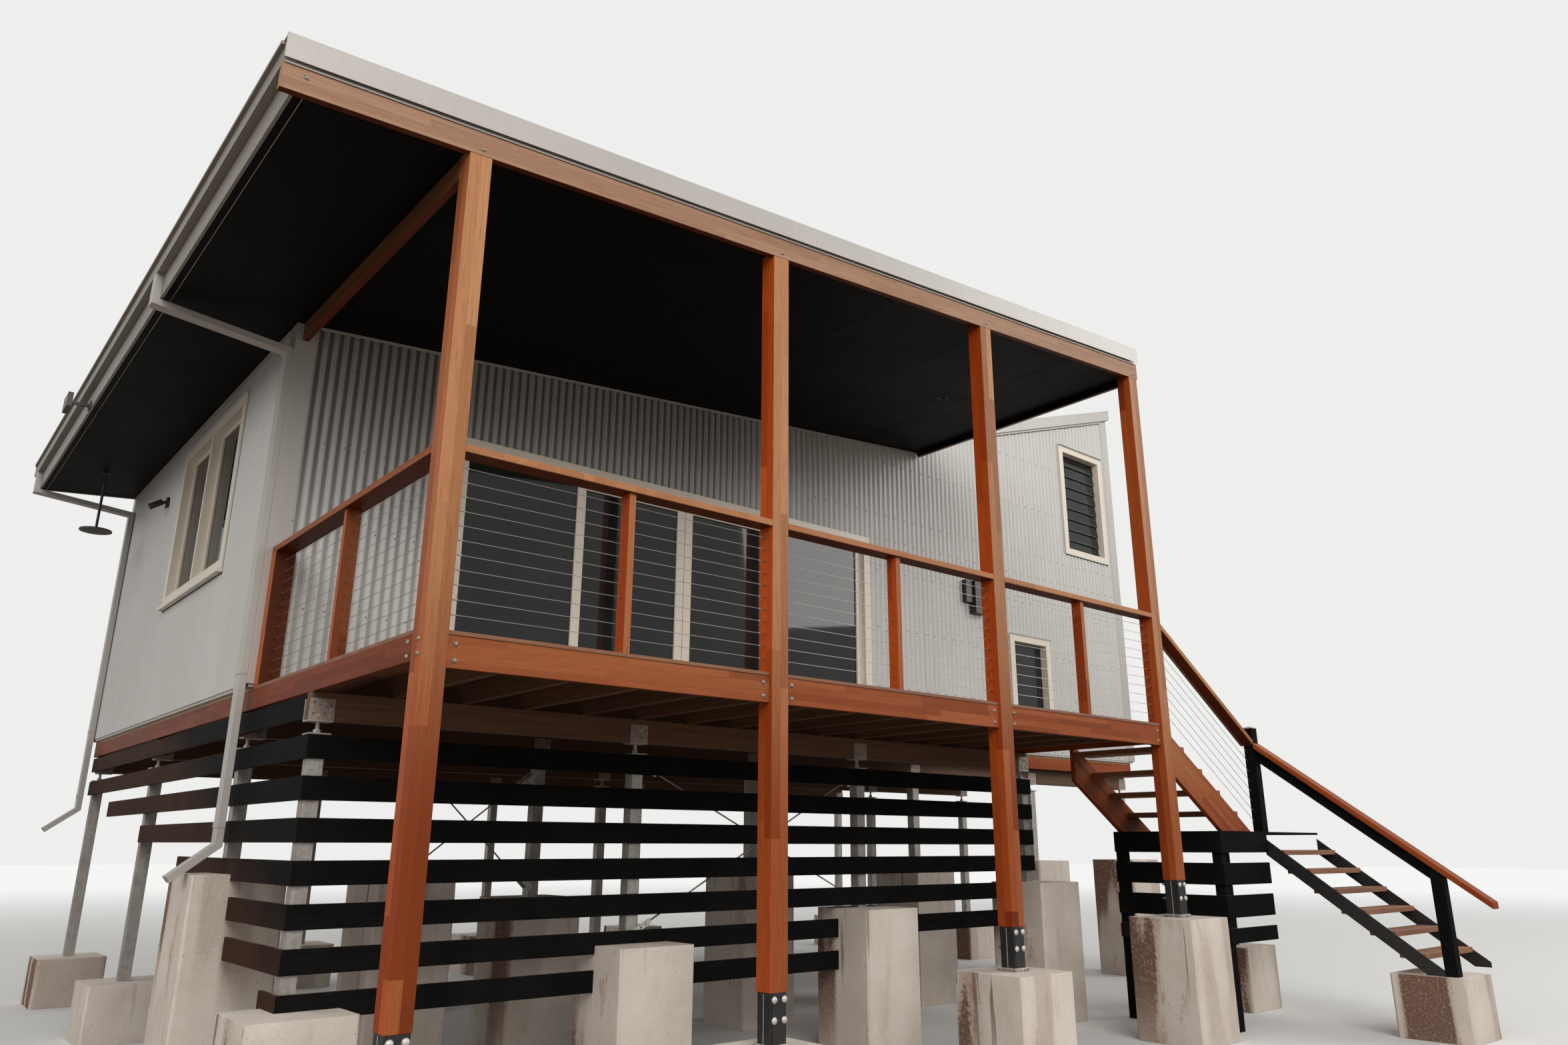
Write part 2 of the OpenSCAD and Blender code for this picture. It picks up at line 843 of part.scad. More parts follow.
module right_door_leaf() {
    color("antiquewhite")
        moving_leaf(moving_right_x);
}

module right_door_glass() {
    color("lightblue", 0.5)
        leaf_glass(moving_right_x, leaf_w, inner_track_y, moving_z);
}

beam_over = 20;

// Front beam seated in the posts, and the side beam from the first post to the house
module roof_beams() {
    x = [eave_x, deck_right + beam_over];
    side = [house_left, house_left + beam_t];
    side_low = soffit_under(house_left) - side_beam_h;
    color("sienna") {
        along_y([front, front + beam_t], [
            [x[0], beam_under(x[0])], [x[1], beam_under(x[1])],
            [x[1], beam_under(x[1]) + beam_h], [x[0], beam_under(x[0]) + beam_h]
        ]);
        along_y([half, crest_front - flash_t], [
            [side[0], side_low], [side[1], side_low],
            [side[1], soffit_under(side[1]) - touch], [side[0], soffit_under(side[0]) - touch]
        ]);
    }
}

gutter_overhang = 8;
fascia_left = eave_x + gutter_w + gutter_overhang;
fascia_right = fascia_left + fascia_t;

// Folded fascia along the left eave, behind the gutter
module eave_fascia() {
    color("gainsboro")
        along_y([front + beam_t, roof_back - cap_t], [
            [fascia_left, beam_under(eave_x)], [fascia_right, beam_under(eave_x)],
            [fascia_right, low_sheet_under(fascia_right) - touch],
            [fascia_left, low_sheet_under(fascia_left) - touch]
        ]);
}

first_joint = -27;
soffit_gap = 6;
soffit_joints = [for (x = [first_joint:soffit_pitch:ridge_x - soffit_pitch / 2]) x];

// Black lining under the deck roof and eaves, in panels that run front to back
module soffit_panels() {
    edges = concat([fascia_right + touch - soffit_gap], soffit_joints, [ridge_x]);
    color("dimgray")
        difference() {
            for (k = [0:len(edges) - 2])
                along_y([front + beam_t, roof_back - cap_out], sloped_band(
                    edges[k] + soffit_gap, edges[k + 1], soffit_lift, soffit_t));
            for (x = post_x)
                block([x - half - notch_gap, x + half + notch_gap], [front, half + notch_gap],
                      [deck_z, 3 * deck_z]);
        }
}

// Band that follows the deck roof between two X values, lifted from the beam's underside
function sloped_band(x0, x1, lift, h) = [
    [x0, beam_under(x0) + lift], [x1, beam_under(x1) + lift],
    [x1, beam_under(x1) + lift + h], [x0, beam_under(x0) + lift + h]
];

function high_band(x0, x1, lift, h) = [
    [x0, high_sheet_under(x0) + lift], [x1, high_sheet_under(x1) + lift],
    [x1, high_sheet_under(x1) + lift + h], [x0, high_sheet_under(x0) + lift + h]
];

purlin_n = 8;
high_purlin_n = 5;

module purlins() {
    lift = soffit_lift + soffit_t + touch;
    first = fascia_right + touch;
    pitch = (ridge_x - joist_t - first) / (purlin_n - 1);
    high_pitch_x = (crest_right - joist_t - ridge_x) / (high_purlin_n - 1);
    color("burlywood") {
        difference() {
            for (k = [0:purlin_n - 1])
                along_y([front + beam_t, roof_back - cap_out], sloped_band(
                    first + k * pitch, first + k * pitch + joist_t, lift, purlin_h));
            for (x = post_x)
                block([x - half, x + half], [front, half], [deck_z, 3 * deck_z]);
        }
        for (k = [1:high_purlin_n - 1])
            along_y([crest_front, crest_back], high_band(
                ridge_x + k * high_pitch_x, ridge_x + k * high_pitch_x + joist_t,
                -high_purlin_h - touch, high_purlin_h));
    }
}

sheet_over = 20;

module roof_sheets() {
    color("silver") {
        along_y([front - cap_out + cap_t, roof_back - cap_t],
                sloped_band(fascia_left - sheet_over, ridge_x,
                            soffit_lift + soffit_t + purlin_h + 2 * touch, roof_sheet_t));
        along_y([crest_front - cap_out + cap_t, roof_back - cap_t],
                high_band(ridge_x, roof_right - cap_t, 0, roof_sheet_t));
    }
}

top_leg = 110;

// Folded cap over a roof edge that runs up the slope: face and top leg
module edge_cap(face_y, inward, x0, x1) {
    y_face = inward > 0 ? [face_y, face_y + cap_t] : [face_y - cap_t, face_y];
    y_leg = inward > 0 ? [face_y + cap_t, face_y + top_leg] : [face_y - top_leg, face_y - cap_t];
    along_y(y_face, [[x0, cap_top(x0) - cap_h], [x1, cap_top(x1) - cap_h],
                     [x1, cap_top(x1)], [x0, cap_top(x0)]]);
    along_y(y_leg, [[x0, cap_top(x0) - cap_t], [x1, cap_top(x1) - cap_t],
                    [x1, cap_top(x1)], [x0, cap_top(x0)]]);
}

cap_return = 15;

module roof_caps() {
    color("gainsboro") {
        edge_cap(front - cap_out, 1, eave_x, ridge_x - 0.01);
        block([eave_x - cap_t, eave_x], [front - cap_out, front - cap_out + cap_return],
              [cap_top(eave_x) - cap_h, cap_top(eave_x)]);
        edge_cap(crest_front - cap_out, 1, ridge_x, roof_right);
        edge_cap(roof_back, -1, eave_x, ridge_x - 0.01);
        edge_cap(roof_back, -1, ridge_x, roof_right);
        along_y([crest_front - cap_out + cap_t, roof_back - cap_t], [
            [roof_right - cap_t, cap_top(roof_right) - cap_h],
            [roof_right, cap_top(roof_right) - cap_h],
            [roof_right, cap_top(roof_right)], [roof_right - cap_t, cap_top(roof_right)]
        ]);
    }
}

gutter_rise = 13;
gutter_back_drop = 18;
gutter_top = low_sheet_under(eave_x) + gutter_rise;
gutter_low = gutter_top - gutter_h;
gutter_back = fascia_left - touch;
gutter_y = [front + beam_t + touch, roof_back - cap_t];

// Folded box gutter with a rolled front lip and closed ends
module gutter() {
    b = gutter_back;
    t = cap_t;
    back_top = gutter_top - gutter_back_drop;
    color("gainsboro") {
        along_y(gutter_y, [
            [b - gutter_w, gutter_low], [b, gutter_low], [b, back_top], [b - t, back_top],
            [b - t, gutter_low + t], [b - gutter_w + t, gutter_low + t],
            [b - gutter_w + t, gutter_top], [b - gutter_w - gutter_bead, gutter_top],
            [b - gutter_w - gutter_bead, gutter_top - gutter_bead],
            [b - gutter_w, gutter_top - gutter_bead]
        ]);
        for (y = [gutter_y[0], gutter_y[1] - t])
            block([b - gutter_w, b], [y, y + t], [gutter_low, back_top]);
    }
}

pipe_x = crest_left - flash_t - pipe_d / 2 - touch;

function unit(v) = v / norm(v);
function left_of(v) = [-v[1], v[0]];
function edge_dir(path, i) = unit(path[i + 1] - path[i]);

// Point beside corner i of a path, where the strip's edge turns
function mitre(path, i, off) =
    let (a = edge_dir(path, max(i - 1, 0)),
         b = edge_dir(path, min(i, len(path) - 2)),
         m = unit(left_of(a) + left_of(b)))
    path[i] + m * off / (m * left_of(a));

// Outline of a strip of width w along a path
function strip(path, w) = concat(
    [for (i = [0:len(path) - 1]) mitre(path, i, -w / 2)],
    [for (i = [len(path) - 1:-1:0]) mitre(path, i, w / 2)]
);

neck_drop = 3;
run_fall = 92;
shoe_reach = 272;
shoe_drop = 215;
front_pipe_in = 52;
rear_pipe_in = 130;
front_pipe_foot = 1545;
rear_pipe_foot = 1900;
collar = 4;
collar_h = 40;
low_collar_lift = 110;
high_collar_lift = 80;

// Downpipe: drop below the gutter, gently falling run to the wall, upright with two
// collars, and a shoe that turns away from the house
module downpipe(y, foot) {
    outlet_x = gutter_back - gutter_w / 2;
    neck = beam_under(eave_x) - pipe_d / 2 - neck_drop;
    path = [
        [outlet_x, gutter_low], [outlet_x, neck], [pipe_x, neck - run_fall], [pipe_x, foot],
        [pipe_x - shoe_reach, foot - shoe_drop]
    ];
    along_y([y - pipe_w / 2, y + pipe_w / 2], strip(path, pipe_d));
    for (z = [foot + low_collar_lift, deck_z + high_collar_lift])
        block([pipe_x - pipe_d / 2 - collar, pipe_x + pipe_d / 2],
              [y - pipe_w / 2 - collar, y + pipe_w / 2 + collar], [z, z + collar_h]);
}

module downpipes() {
    color("gainsboro") {
        downpipe(crest_front + front_pipe_in, front_pipe_foot);
        downpipe(crest_back - rear_pipe_in, rear_pipe_foot);
    }
}

// Fittings: places from the outside of the left wall, the floor and the house's back
rose_out = 444.5;
rose_from_back = 917.5;
rose_lift = 2090;
rose_d = 300;
rose_t = 14;
rose_pipe_d = 26;
rose_plate_d = 70;
rose_plate_t = 8;

module shower_rose() {
    x = crest_left - rose_out;
    low = deck_z + rose_lift;
    under = soffit_under(x - rose_plate_d / 2) - touch;
    translate([x, house_back - rose_from_back, 0]) {
        translate([0, 0, low])
            cylinder(d = rose_d, h = rose_t);
        translate([0, 0, low + rose_t])
            cylinder(d = rose_pipe_d, h = under - low - rose_t);
        translate([0, 0, under - rose_plate_t])
            cylinder(d = rose_plate_d, h = rose_plate_t);
    }
}

lamp_from_back = 1937.5;
lamp_lift = 2250;
lamp_d = 60;
lamp_len = 130;
lamp_plate_w = 80;
lamp_plate_h = 100;
lamp_plate_t = 20;
lamp_arm_t = 24;
lamp_arm_len = 40;
lamp_turn = 235;

module wall_lamp() {
    translate([crest_left, house_back - lamp_from_back, deck_z + lamp_lift]) {
        block([-lamp_plate_t, 0], [-lamp_plate_w / 2, lamp_plate_w / 2],
              [-lamp_plate_h / 2, lamp_plate_h / 2]);
        block([-lamp_plate_t - lamp_arm_len, -lamp_plate_t], [-lamp_arm_t / 2, lamp_arm_t / 2],
              [-lamp_arm_t / 2, lamp_arm_t / 2]);
        translate([-lamp_plate_t - lamp_arm_len + lamp_arm_t / 4, 0, 0])
            rotate([0, lamp_turn, 0])
                cylinder(d = lamp_d, h = lamp_len);
    }
}

flood_from_back = 3047.5;
flood_w = 240;
flood_h = 130;
flood_t = 40;
flood_drop = 40;
flood_arm_w = 30;
flood_arm_h = 25;
flood_arm_lift = 25;
flood_reach = 90;
flood_plate_w = 120;
flood_plate_h = 60;
flood_plate_t = 12;
flood_plate_lift = 10;

module flood_lamp() {
    translate([0, house_back - flood_from_back, beam_under(eave_x)]) {
        block([fascia_left - flood_plate_t, fascia_left], [-flood_plate_w / 2, flood_plate_w / 2],
              [flood_plate_lift, flood_plate_lift + flood_plate_h]);
        block([eave_x - flood_reach, fascia_left - flood_plate_t],
              [-flood_arm_w / 2, flood_arm_w / 2],
              [flood_arm_lift, flood_arm_lift + flood_arm_h]);
        block([eave_x - flood_reach - flood_t, eave_x - flood_reach], [-flood_w / 2, flood_w / 2],
              [-flood_drop, flood_h - flood_drop]);
    }
}

meter_w = 190;
meter_h = 390;
meter_d = 90;
meter_gap = 562.5;
meter_low = 1580;
switch_w = 130;
switch_h = 270;
switch_d = 60;

module meter_boxes() {
    right = small_left - meter_gap;
    left = right - meter_w;
    low = deck_z + meter_low;
    block([left, right], [crest_front - meter_d, crest_front], [low, low + meter_h]);
    block([left - switch_w, left - touch], [crest_front - switch_d, crest_front],
          [low + meter_h - switch_h, low + meter_h]);
}

// Shower rose under the left eave, wall lamp, flood lamp at the gutter and meter boxes
module outdoor_fittings() {
    color("dimgray") {
        shower_rose();
        wall_lamp();
        flood_lamp();
        meter_boxes();
    }
}

// Slat rows: how far back each row of the left screen runs, and how far right the front one does
left_runs = [7010, 7010, 5750, 4150, 2660, 1140, 1100, 260];
front_runs = [0, 1, 1, 1, 1, 0.98, 0.94, 0.62];
slat_drop = 17;
slat_top_z = bearer_top - slat_drop;
slat_face_y = stump_y[0] - stump_w / 2 - slat_t;
slat_left = -stump_w / 2 - slat_t;
mitre_gap = touch;

module slat_screens() {
    color("dimgray") {
        landing_slats();
        difference() {
            for (row = [0:slat_rows - 1]) {
                top = slat_top_z - row * slat_pitch;
                start = row == 0 ? stump_y[0] + cheek_y + 2 * cheek_t : slat_face_y;
                along = stump_y[0] + left_runs[row];
                block([slat_left, slat_left + slat_t], [start, along], [top - slat_h, top]);
                if (front_runs[row] > 0)
                    block([slat_left + slat_t + mitre_gap, front_runs[row] * deck_right],
                          [slat_face_y, slat_face_y + slat_t], [top - slat_h, top]);
            }
            for (row = [0, 1])
                for (i = [0:len(stump_xs(row)) - 1])
                    translate([stump_xs(row)[i], stump_y[row] - block_forward[row], 0])
                        cube([pier_w + 2 * touch, pier_w + 2 * touch, 2 * block_top(row, i) + 2 * touch],
                             center = true);
        }
    }
}

wall_post_d = 100;
rail_under = deck_z + rail_top - rail_t;
wall_post_back = crest_front - flash_t - touch;
wall_post_y = wall_post_back - wall_post_d;

module handrails() {
    color("chocolate") {
        for (i = [0:bays - 1])
            block([post_x[i] + half, post_x[i + 1] - half], [front, half],
                  [rail_under, rail_under + rail_t]);
        block([house_left, half], [half, wall_post_back], [rail_under, rail_under + rail_t]);
        upper_handrail();
        lower_handrail();
    }
}

function cable_z(k) = deck_z + cable_low + k * cable_pitch;
hole_d = cable_d + 2;
side_baluster_y = (half + wall_post_y) / 2;

module balusters() {
    color("chocolate") {
        for (i = [0:bays - 1])
            difference() {
                x = post_x[i] + bay / 2;
                block([x - baluster_t / 2, x + baluster_t / 2], [-baluster_w / 2, baluster_w / 2],
                      [deck_z, rail_under]);
                for (k = [0:cable_n - 1])
                    translate([x - baluster_t, 0, cable_z(k)])
                        rotate([0, 90, 0])
                            cylinder(d = hole_d, h = 2 * baluster_t, $fn = 16);
            }
        difference() {
            block([-baluster_w / 2, baluster_w / 2],
                  [side_baluster_y - baluster_t / 2, side_baluster_y + baluster_t / 2],
                  [deck_z, rail_under]);
            for (k = [0:cable_n - 1])
                translate([0, side_baluster_y - baluster_t, cable_z(k)])
                    rotate([-90, 0, 0])
                        cylinder(d = hole_d, h = 2 * baluster_t, $fn = 16);
        }
        block([-half, half], [wall_post_y, wall_post_back], [deck_z, rail_under]);
    }
}

swage_taper = 6;

// Cable with a swaged stud at each end, along Z from the origin
module cable(length) {
    rotate_extrude($fn = 16)
        polygon([
            [0, 0], [swage_d / 2, 0], [swage_d / 2, swage_len],
            [cable_d / 2, swage_len + swage_taper],
            [cable_d / 2, length - swage_len - swage_taper], [swage_d / 2, length - swage_len],
            [swage_d / 2, length], [0, length]
        ]);
}

module rail_cables() {
    color("silver") {
        for (k = [0:cable_n - 1]) {
            for (i = [0:bays - 1])
                translate([post_x[i] + half, 0, cable_z(k)])
                    rotate([0, 90, 0])
                        cable(bay - post_w);
            translate([0, half, cable_z(k)])
                rotate([-90, 0, 0])
                    cable(wall_post_y - half);
        }
        upper_cables();
    }
}

// Stair
landing_z = deck_z - upper_risers * riser;
upper_run = (upper_risers - 1) * going;
stair_slope = atan2(riser, going);
landing_back = 485;
newel_step = 130;
stringer_low = 110;
landing_x = deck_right + upper_run - landing_back;
landing_right = landing_x + landing_w;
newel_x = deck_right + upper_run + going + newel_step;
stair_back = front + stringer_t * 2 + stair_w;
stringer_drop = stringer_h / cos(stair_slope);

// Outline of an upper stringer in X and Z, cut level at the landing
function upper_stringer() = [
    [deck_right, deck_z - stringer_low],
    [deck_right, deck_z - stringer_low - stringer_drop],
    [deck_right + (deck_z - stringer_low - stringer_drop - landing_z) * going / riser, landing_z],
    [deck_right + (deck_z - stringer_low - landing_z) * going / riser, landing_z]
];

lower_x = newel_x;
lower_slope = atan2(lower_riser, lower_going);
lower_right = lower_x + newel_w / 2 + stair_w;
lower_tread_d = 215;
lower_tread_back = 50;
lower_start = front + lower_tread_back;
lower_foot_y = lower_start - (lower_risers - 1) * lower_going;
lower_foot_x = lower_x + pier_w / 2 - newel_w;
lower_foot_z = landing_z - lower_risers * lower_riser;

bar_t = 12;
bar_h = 150;
bar_low = 60;
foot_run = 130;
end_post_y = lower_foot_y - foot_run - newel_w - touch;
rail_overrun = 350;
under_rail_h = 120;

// Outline of a lower stringer in Y and Z
function lower_stringer() =
    let (slope = lower_riser / lower_going, top = landing_z - bar_low, low = top - bar_h,
         end = end_post_y + newel_w + touch)
    [
        [front, top], [front, low], [front - (low - lower_foot_z) / slope, lower_foot_z],
        [end, lower_foot_z], [end, top - (front - end) * slope]
    ];

module stair_stringers() {
    color("sienna")
        for (y = [front, stair_back - stringer_t])
            along_y([y, y + stringer_t], upper_stringer());
}

// Flat steel bars that carry the lower treads
module lower_stringers() {
    color("dimgray")
        for (x = [lower_x - newel_w / 2, lower_right])
            along_x([x, x + bar_t], lower_stringer());
}

module stair_treads() {
    color("peru") {
        for (k = [1:upper_risers - 1])
            block([deck_right + (k - 1) * going, deck_right + (k - 1) * going + tread_d],
                  [front + stringer_t, stair_back - stringer_t],
                  [deck_z - k * riser - tread_t, deck_z - k * riser]);
        for (k = [1:lower_risers - 1])
            block([lower_x - newel_w / 2 + bar_t, lower_right],
                  [lower_start - k * lower_going,
                   min(lower_start - k * lower_going + lower_tread_d, front)],
                  [landing_z - k * lower_riser - tread_t, landing_z - k * lower_riser]);
    }
}

module landing() {
    x = landing_x + landing_block_x - bearer_w / 2;
    y = front + landing_block_y - bearer_w / 2;
    color("dimgray") {
        block([landing_x, landing_right], [front, stair_back], [landing_z - board_t, landing_z]);
        for (post_y = [front, stair_back - bearer_w])
            block([landing_x, landing_x + bearer_w], [post_y, post_y + bearer_w],
                  [0, landing_z - board_t]);
        block([x, x + bearer_w], [y, y + bearer_w], [landing_block_top, landing_z - board_t]);
    }
}

landing_slat_h = 190;
landing_slat_pitch = 280;
landing_slat_rows = 4;
landing_slat_low = 720;

module landing_slats() {
    for (row = [0:landing_slat_rows - 1]) {
        high = landing_z - row * landing_slat_pitch;
        z = [max(high - landing_slat_h, landing_slat_low), high];
        block([landing_x, lower_x - newel_w / 2], [front - slat_t, front], z);
        block([landing_x - slat_t, landing_x - mitre_gap], [front - slat_t, stair_back], z);
    }
}

newel_h = 985;
newel_cap_h = 26;
newel_cap_over = 10;
newel_cap_tip = 8;

// Black newel with a pyramid cap, end post, and the board under the lower handrail
module stair_posts() {
    y0 = front - touch;
    y1 = end_post_y + newel_w;
    top = lower_rail_under(y0) - touch;
    low = lower_rail_under(y1) - touch;
    color("dimgray") {
        block([newel_x - newel_w / 2, newel_x + newel_w / 2], [front, front + newel_w],
              [landing_z, landing_z + newel_h]);
        translate([newel_x, front + newel_w / 2, landing_z + newel_h])
            rotate([0, 0, 45])
                cylinder(d1 = (newel_w + newel_cap_over) * sqrt(2), d2 = newel_cap_tip,
                         h = newel_cap_h, $fn = 4);
        along_x([lower_x - newel_w / 2, lower_x + newel_w / 2], [
            [end_post_y, lower_foot_z], [y1, lower_foot_z], [y1, low],
            [end_post_y, lower_rail_under(end_post_y) - touch]
        ]);
        along_x([lower_x - stringer_t / 2, lower_x + stringer_t / 2], [
            [y0, top], [y0, top - under_rail_h], [y1, low - under_rail_h], [y1, low]
        ]);
    }
}

upper_rail_drop = riser / going;
upper_rail_lift = 920;

module upper_handrail() {
    x0 = deck_right;
    x1 = newel_x - newel_w / 2;
    top = deck_z + upper_rail_lift;
    drop = rail_t / cos(stair_slope);
    along_y([front, half], [
        [x0, top - drop], [x1, top - drop - (x1 - x0) * upper_rail_drop],
        [x1, top - (x1 - x0) * upper_rail_drop], [x0, top]
    ]);
}

lower_rail_drop = lower_riser / lower_going;
lower_rail_lift = 840;
lower_rail_top = landing_z + lower_rail_lift;

// Underside of the lower handrail at a place along Y
function lower_rail_under(y) =
    lower_rail_top - rail_t / cos(lower_slope) + (y - front + touch) * lower_rail_drop;

module lower_handrail() {
    y0 = front - touch;
    y1 = end_post_y - rail_overrun;
    top = lower_rail_top;
    drop = rail_t / cos(lower_slope);
    along_x([lower_x - half, lower_x + half], [
        [y0, top], [y0, top - drop], [y1, lower_rail_under(y1)], [y1, lower_rail_under(y1) + drop]
    ]);
}

upper_cable_n = 8;
upper_cable_lift = 800;

module upper_cables() {
    x0 = deck_right;
    x1 = newel_x - newel_w / 2;
    length = (x1 - x0) / cos(stair_slope);
    end_gap = swage_d / 2 * tan(stair_slope) + touch;
    for (k = [0:upper_cable_n - 1])
        translate([x0, 0, deck_z + upper_cable_lift - k * cable_pitch / cos(stair_slope)])
            rotate([0, 90 + stair_slope, 0])
                translate([0, 0, end_gap])
                    cable(length - 2 * end_gap);
}

front_piers();
stump_blocks();
post_shoes();
deck_posts();
steel_stumps();
cross_braces();
bearers();
rim_boards();
joists();
deck_boards();
house_floor();
front_wall_left();
front_wall_over_door();
front_wall_right();
left_wall();
back_wall();
right_wall();
wall_cladding();
corner_flashings();
window_frames();
fixed_glass();
louvre_blades();
door_frame();
left_door_leaf();
left_door_glass();
right_door_leaf();
right_door_glass();
roof_beams();
soffit_panels();
purlins();
roof_sheets();
roof_caps();
eave_fascia();
gutter();
downpipes();
outdoor_fittings();
slat_screens();
handrails();
balusters();
rail_cables();
stair_stringers();
lower_stringers();
stair_treads();
landing();
stair_posts();
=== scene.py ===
import math
import random

import bmesh
import bpy
from mathutils import Matrix, Vector


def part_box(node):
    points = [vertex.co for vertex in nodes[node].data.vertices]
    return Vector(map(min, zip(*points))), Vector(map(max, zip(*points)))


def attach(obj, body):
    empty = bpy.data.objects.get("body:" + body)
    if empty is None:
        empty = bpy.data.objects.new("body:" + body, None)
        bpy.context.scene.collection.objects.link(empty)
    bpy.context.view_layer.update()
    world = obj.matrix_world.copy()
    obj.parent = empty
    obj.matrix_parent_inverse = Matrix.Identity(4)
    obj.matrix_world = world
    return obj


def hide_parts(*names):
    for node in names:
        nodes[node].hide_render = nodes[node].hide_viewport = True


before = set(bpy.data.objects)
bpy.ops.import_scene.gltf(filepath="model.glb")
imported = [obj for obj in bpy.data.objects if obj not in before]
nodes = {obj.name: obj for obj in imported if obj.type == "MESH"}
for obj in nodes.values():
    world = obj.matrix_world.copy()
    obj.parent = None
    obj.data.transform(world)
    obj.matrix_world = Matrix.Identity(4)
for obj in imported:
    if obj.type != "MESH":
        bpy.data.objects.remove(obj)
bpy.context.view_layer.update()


# Concrete piers and blocks. Each is cast in a square mould with chamfered corners, so it
# has a cast skin with air holes, water stains that run down from the top, and edges that
# are a little broken.
class Val:
    """A value on its way through a shader. Sums on it add Math nodes."""

    def __init__(self, tree, socket):
        self.tree = tree
        self.socket = socket

    def feed(self, target):
        self.tree.links.new(self.socket, target)

    def node(self, kind, settings=None, inputs=None, out=0):
        made = self.tree.nodes.new(kind)
        for name, value in (settings or {}).items():
            if name == "stops":
                ramp = made.color_ramp.elements
                while len(ramp) < len(value):
                    ramp.new(0.5)
                for stop, (place, colour) in zip(ramp, value):
                    stop.position = place
                    stop.color = (*colour, 1.0)
            else:
                setattr(made, name, value)
        for key, value in (inputs or {}).items():
            if isinstance(value, Val):
                value.feed(made.inputs[key])
            else:
                made.inputs[key].default_value = value
        return Val(self.tree, made.outputs[out])

    def sum(self, operation, *terms):
        return self.node("ShaderNodeMath", {"operation": operation}, dict(enumerate(terms)))

    def __add__(self, other):
        return self.sum("ADD", self, other)

    def __sub__(self, other):
        return self.sum("SUBTRACT", self, other)

    def __rsub__(self, other):
        return self.sum("SUBTRACT", other, self)

    def __mul__(self, other):
        return self.sum("MULTIPLY", self, other)

    def __truediv__(self, other):
        return self.sum("DIVIDE", self, other)

    def floor(self):
        return self.sum("FLOOR", self)

    def rest(self):
        return self.sum("FRACT", self)

    def ramp(self, *stops):
        return self.node("ShaderNodeValToRGB", {"stops": stops}, {0: self})

    def clear(self, low, high):
        """0 below low, 1 above high, smooth between."""
        return self.node("ShaderNodeMapRange", {"interpolation_type": "SMOOTHSTEP"},
                         {"Value": self, "From Min": low, "From Max": high})

    def parts(self):
        return [self.node("ShaderNodeSeparateXYZ", {}, {0: self}, out) for out in range(3)]

    def vector(self, x, y, z):
        return self.node("ShaderNodeCombineXYZ", {}, {0: x, 1: y, 2: z})

    def tint(self, colour, factor):
        return self.node("ShaderNodeMix", {"data_type": "RGBA"}, {0: factor, 6: self, 7: colour}, 2)

    def chance(self):
        return self.node("ShaderNodeTexWhiteNoise", {}, {"Vector": self})

    def cells(self, scale, out=0):
        return self.node("ShaderNodeTexVoronoi", {}, {"Vector": self, "Scale": scale}, out)

    def noise(self, scale, detail=3.0, rough=0.5, stretch=(1, 1, 1)):
        spot = self
        if stretch != (1, 1, 1):
            spot = self.node("ShaderNodeMapping", {}, {"Vector": self, "Scale": stretch})
        return self.node("ShaderNodeTexNoise", {},
                         {"Vector": spot, "Scale": scale, "Detail": detail, "Roughness": rough})


class Finish:
    """A material with its shader, and where on the object it is."""

    def __init__(self, name, **constants):
        self.material = bpy.data.materials.new(name)
        self.material.use_nodes = True
        tree = self.material.node_tree
        self.shader = tree.nodes["Principled BSDF"]
        self.place = Val(tree, tree.nodes.new("ShaderNodeTexCoord").outputs["Object"])
        for name, value in constants.items():
            self.shader.inputs[name.replace("_", " ")].default_value = value

    def paint(self, colour, rough=None, height=None, bump=0.3, depth=0.001):
        colour.feed(self.shader.inputs["Base Color"])
        if rough is not None:
            rough.feed(self.shader.inputs["Roughness"])
        if height is not None:
            height.node("ShaderNodeBump", {}, {"Strength": bump, "Distance": depth, "Height": height}
                        ).feed(self.shader.inputs["Normal"])
        return self.material

    def attribute(self, name, out=2):
        return self.place.node("ShaderNodeAttribute", {"attribute_name": name}, {}, out)


SHARP = 0.4
WELD = 0.00004


def islands(bm):
    """The separate solids of a mesh, as lists of vertices, always in the same order."""
    known = set()
    found = []
    for first in bm.verts:
        if first in known:
            continue
        known.add(first)
        group = [first]
        for vert in group:
            for edge in vert.link_edges:
                other = edge.other_vert(vert)
                if other not in known:
                    known.add(other)
                    group.append(other)
        found.append(group)
    return found


def mesh_of(bm, name):
    mesh = bpy.data.meshes.new(name)
    bm.to_mesh(mesh)
    bm.free()
    return mesh


def placed(name, data):
    """Object in the scene of a mesh, a light or a camera."""
    thing = bpy.data.objects.new(name, data)
    bpy.context.scene.collection.objects.link(thing)
    return thing


def piece_from(bm, name, look, body="house"):
    """Makes an object of bm that rides on a body. look holds a slot, which is not used, and its material.
    """
    slot, material = look
    mesh = mesh_of(bm, name)
    mesh.materials.append(material)
    piece = placed(name, mesh)
    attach(piece, body)
    return piece


def outward(bm):
    bmesh.ops.recalc_face_normals(bm, faces=bm.faces)


def pushed(bm, made, way):
    """Moves the new corners of an extrusion."""
    moved = [part for part in made["geom"] if isinstance(part, bmesh.types.BMVert)]
    bmesh.ops.translate(bm, vec=way, verts=moved)


def ease(bm, edges, width, segments):
    bmesh.ops.bevel(bm, geom=edges, offset=width, offset_type="OFFSET", segments=segments,
                    profile=0.5, affect="EDGES", clamp_overlap=True, material=-1)


